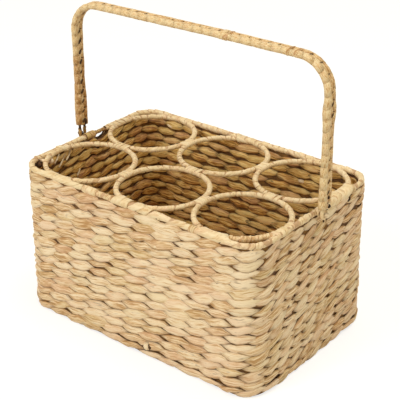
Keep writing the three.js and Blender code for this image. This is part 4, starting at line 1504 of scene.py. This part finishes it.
# The wire in the slot wears the dark colour of painted shade.
slot_points = [Vector((-RIM_HALF_LENGTH, y * MM, z * MM)) for y, z in SLOT_WIRE]
lay_wire("hinge_slot_wire", [plain(slot_points)], SLOT_RADIUS, hollow,
         "basket", "frame_wire", ["woven_wall"])
root_points = straight(Vector((RIM_HALF_LENGTH, 0, RIM_HEIGHT)), Vector((ROOT_END, 0, RIM_HEIGHT)))
wind("hinge_leaf_root", [plain(root_points)], {
    "Pitch": 2.6 * MM, "Radius": ROOT_RADIUS, "Unevenness": 0.3, "Seed": 521,
}, ["rim_wrap_right_front"])
for name, side, tone, leaf in (("left", -1, 0.0, worn_leaf), ("right", 1, 0.5, wound_leaf)):
    eye = Track(eye_line(side * HANDLE_X))
    wind(f"eye_leaf_{name}", [plain(eye.between(EYE_BARE, eye.length - EYE_BARE))], {
        "Up": X_AXIS, "Pitch": 3.4 * MM, "Radius": EYE_LEAF_RADIUS, "Unevenness": 0.1,
        "Tone": tone, "Material": leaf, "Seed": 531,
    }, [f"handle_wrap_{name}_leg"], "handle", "handle_leaf")

# %% [markdown]
# The handle is one arch of two rods side by side, bound together from foot to foot. The line of its
# figures of eight is cut at the seam on the left leg, and the leaf below the seam is drawn darker. A
# plain winding fills the groove, the notches lie in it as flat lenses of painted shade, and a band and
# two knots show where one strip ends and the next begins. The far half of the grip and of its knots is
# darkened as painted shade.

# %% Handle leaf
RIGHT_FOOT = 186.5 * MM
LEFT_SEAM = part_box("handle_wrap_left_leg")[1].z
SEAM_LAP = 3 * MM
GRIP_LUMP = 0.03
LEG_BULGE = (287 * MM, 298 * MM, 6 * MM, 0.2)
FOOT_SWELL = (180 * MM, 215 * MM, 30 * MM, 0.14)
BAR_BAND = (38 * MM, 50 * MM)
BAND_RADIUS = GRIP_HALF_THICKNESS + 0.5 * MM
FILLER_RADIUS = GRIP_HALF_THICKNESS - 0.7 * MM
KNOT_RADIUS = GRIP_HALF_THICKNESS + 0.1 * MM
KNOTS = ((122 * MM, 126 * MM), (131 * MM, 136 * MM))


def grip_section(point):
    """The swell of the grip: a bulge on the right leg, and slow lumps everywhere."""
    swell = GRIP_LUMP * math.sin(point.x / RIM_LUMPS) * math.cos(point.z / RIM_LUMPS)
    if point.x > HANDLE_X - 1 * MM:
        swell += swell_between(point.z, *LEG_BULGE)
    return (0.0, 0.0, swell + swell_between(point.z, *FOOT_SWELL))


arch_track = Track(handle_arch(GRIP_FOOT, RIGHT_FOOT))
seam = LEFT_SEAM - GRIP_FOOT
# The negative value below paints shade on the far half of the grip.
grip_values = {
    "Pitch": EIGHT_PITCH, "Radius": GRIP_HALF_THICKNESS, "Unevenness": 0.04, "Tone": 0.6,
    "Tone Spread": 0.15, "Side Tone": -0.35, "Material": grip_leaf,
}
eight_values = {"Turns": eight_kit, "Kinds": 3.99, "Up": Y_AXIS}
groove_values = {"Up": Y_AXIS, "Tone": 0.35, "Tone Spread": 0.6, "Side Tone": 0.0}


def wind_grip(name, stretches, values, nodes):
    wind(name, stretches, {**grip_values, **values}, nodes, "handle", "handle_leaf")


def grip_stretch(start, end):
    return [(point, grip_section(point)) for point in arch_track.between(start, end)]


def bar_stretch(start, end):
    """A short stretch of the bar, drawn apart so that the leaf goes round both rods."""
    ends = [Vector((x, 0, BAR_HEIGHT)) for x in (start, end)]
    return [(point, (HANDLE_ROD_OFFSET, HANDLE_ROD_OFFSET, 0)) for point in straight(*ends)]


wind_grip("handle_leaf", [grip_stretch(seam, arch_track.length)], {**eight_values, "Seed": 401}, [
    "handle_wrap_left_corner", "handle_wrap_bar", "handle_wrap_right_corner",
    "handle_wrap_right_leg",
])
# The left leg below the seam is drawn darker.
leg_values = {**eight_values, "Tone": -0.1, "Seed": 407}
wind_grip("handle_leaf_left_leg", [grip_stretch(0, seam + SEAM_LAP)], leg_values, ["handle_wrap_left_leg"])
whole_line = grip_stretch(0, arch_track.length)
wind_grip("handle_filler", [whole_line], {**groove_values, "Radius": FILLER_RADIUS, "Seed": 431}, [
    "handle_wrap_bar", "handle_wrap_left_leg", "handle_wrap_right_leg",
])
steps = round((BAR_HEIGHT - HANDLE_CORNER / 2 - GRIP_FOOT) / TRACK_STEP)
# The notches are flat dark lenses of painted shade in the groove.
notch_runs = {
    "bar": ([whole_line[steps:-steps]], bar_notches, 3.99),
    "legs": ([whole_line[:steps], whole_line[:-steps:-1]], leg_notches, 2.99),
}
for name, (stretches, kit, kinds) in notch_runs.items():
    wind_grip(f"handle_notches_{name}", stretches, {
        **groove_values, "Turns": kit, "Kinds": kinds, "Material": hollow, "Seed": 437,
    }, ["handle_wrap_bar"])
# The knots' far halves are darkened strongly, as painted shade.
for number, knot in enumerate(KNOTS):
    wind_grip(f"handle_knot_{number}", [bar_stretch(*knot)], {
        "Pitch": 2.4 * MM, "Radius": KNOT_RADIUS, "Side Tone": -1.1, "Tone Spread": 0.4,
        "Unevenness": 0.1, "Seed": 441 + number,
    }, ["handle_wrap_bar"])
wind_grip("handle_band", [bar_stretch(*BAR_BAND)], {
    "Pitch": 6 * MM, "Radius": BAND_RADIUS, "Tone": 0.4, "Tone Spread": 0.8, "Side Tone": 0.0, "Seed": 411,
}, ["handle_wrap_bar"])

# %% [markdown]
# Every leaf strip ends somewhere. Most ends are pushed back into the weave, and a few of them stay in
# sight as short pale stubs with a dark hollow beside them. Each stub, hollow and scrap is a float drawn
# at another size, and so is the one broad float at the top of the front. The dark hollows, here and at
# the hinges and the feet of the handle, are painted shade. A few loose strands lie on the inside of the
# left short wall, below the rim.

# %% Tucked ends
FRONT_FACE = (X_AXIS, Z_AXIS, -Y_AXIS)
RIGHT_FACE = (Y_AXIS, Z_AXIS, X_AXIS)
DRAWN_WIDTH = 11
STRAND_RADIUS = 1.0 * MM
LOOSE_STRANDS = (
    ((-156, -55, 175), (-154, -60, 170.5), (-151.8, -67, 168)),
    ((-156, -45, 171), (-153.5, -52, 166.5), (-151.8, -60, 160.5)),
    ((-157, -34, 175), (-154, -41, 169), (-151.8, -48, 165.5)),
    ((-153.5, -25, 146), (-152.5, -28, 142.5), (-151.8, -31.5, 140)),
)


def tucked(name, face, place, size, turn, tone=0.0, material=hollow):
    """A float laid on a face of the basket. place and size, which is length, width and height, in mm."""
    mesh = float_mesh(name, 1.0, 0.0, 1.0, INNER_SLANT)
    length, width, height = size
    scale = (length * MM / (2 * FLOAT_HALF_LENGTH), width / DRAWN_WIDTH, height)
    turned = Matrix.Rotation(turn, 4, "Z") @ Matrix.Diagonal((*scale, 1))
    axes = Matrix(face).transposed().to_4x4()
    mesh.transform(Matrix.Translation(Vector(place) * MM) @ axes @ turned)
    for label, value in (("tone", tone), ("hue", 0.5)):
        attribute = mesh.attributes.new(label, "FLOAT", "POINT")
        for item in attribute.data:
            item.value = value
    mesh.materials.append(material)
    return in_scene(name, mesh)


# The stubs are leaf; each hollow beside them is a flat float of painted shade.
ends = [
    tucked("stub_low", FRONT_FACE, (22.5, -111.6, 14.3), (12, 9, 2.4), 1.2, 1.3, woven_leaf),
    tucked("stub_low_hollow", FRONT_FACE, (22.5, -111.6, 13.5), (19, 8, 1.2), 0.2),
    tucked("stub_side", RIGHT_FACE, (162.6, -46, 90), (7, 6, 2.2), 1.3, 1.4, woven_leaf),
    tucked("stub_side_hollow", RIGHT_FACE, (162.8, -49, 90), (12, 6, 1.2), 0.5),
    tucked("hinge_hollow_below", RIGHT_FACE, (163.0, 11, 163.5), (5, 2.0, 1.2), 0.3),
    tucked("hinge_hollow_behind", RIGHT_FACE, (163.3, 61, 170), (8, 2.0, 1.2), 0.9),
    tucked("side_hollow_far", RIGHT_FACE, (163.2, 85, 154.5), (8, 2.0, 1.2), 0.7),
    tucked("stub_front", FRONT_FACE, (37.5, -109.4, 143), (9, 4, 2.0), 0.3, 1.4, woven_leaf),
    tucked("large_float_top", FRONT_FACE, (50, -109.0, 166), (52, 15, 1.5), -0.03, 0.9, woven_leaf),
    tucked("corner_hollow", RIGHT_FACE, (-153.2, -88, 174), (9, 7, 2.0), 0.4),
    tucked("corner_scrap_high", RIGHT_FACE, (-151.8, -84.5, 178.5), (7, 4, 2.0), -0.4, 1.6, woven_leaf),
    tucked("corner_scrap_low", RIGHT_FACE, (-151.8, -71.3, 172.8), (8, 5, 2.0), 0.8, 1.4, woven_leaf),
    tucked("torn_back_left", FRONT_FACE, (-121, 103.6, 167), (13, 5, 2.0), -0.5, 1.6, woven_leaf),
    tucked("torn_back_right", FRONT_FACE, (75, 103.6, 149), (12, 5, 2.0), -0.2, 1.2, woven_leaf),
]
for end_piece in ends:
    finish_piece(end_piece, "basket", ["woven_wall"])
leg_x = HANDLE_X / MM
foot_z = GRIP_FOOT / MM
# Dark spots on the feet of the handle: painted shade.
spots = (
    ("left", tucked("foot_hollow_left", RIGHT_FACE, (3.6 - leg_x, 3.2, foot_z + 4), (9, 3.4, 0.9), 1.4)),
    ("right", tucked("foot_hollow_right_0", RIGHT_FACE, (leg_x + 4.2, 0.6, 199), (4.5, 2.0, 0.9), 1.2)),
    ("right", tucked("foot_hollow_right_1", RIGHT_FACE, (leg_x + 4.2, 3.0, 188), (4.5, 1.5, 0.9), 1.2)),
)
for leg, spot in spots:
    finish_piece(spot, "handle", [f"handle_wrap_{leg}_leg"])
strand_lines = [plain([Vector(p) * MM for p in points]) for points in LOOSE_STRANDS]
lay_wire("loose_strands", strand_lines, STRAND_RADIUS, knob_glint_and_pale_strands,
         "basket", "leaf_weave", ["woven_wall"])

# %% [markdown]
# The wire nodes of the frame already have the right shape, so they stay, in the dark iron finish.

# %% Finish of the wires that stay
for name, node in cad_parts.items():
    if not node.hide_render:
        for slot in node.material_slots:
            slot.material = dark_wire
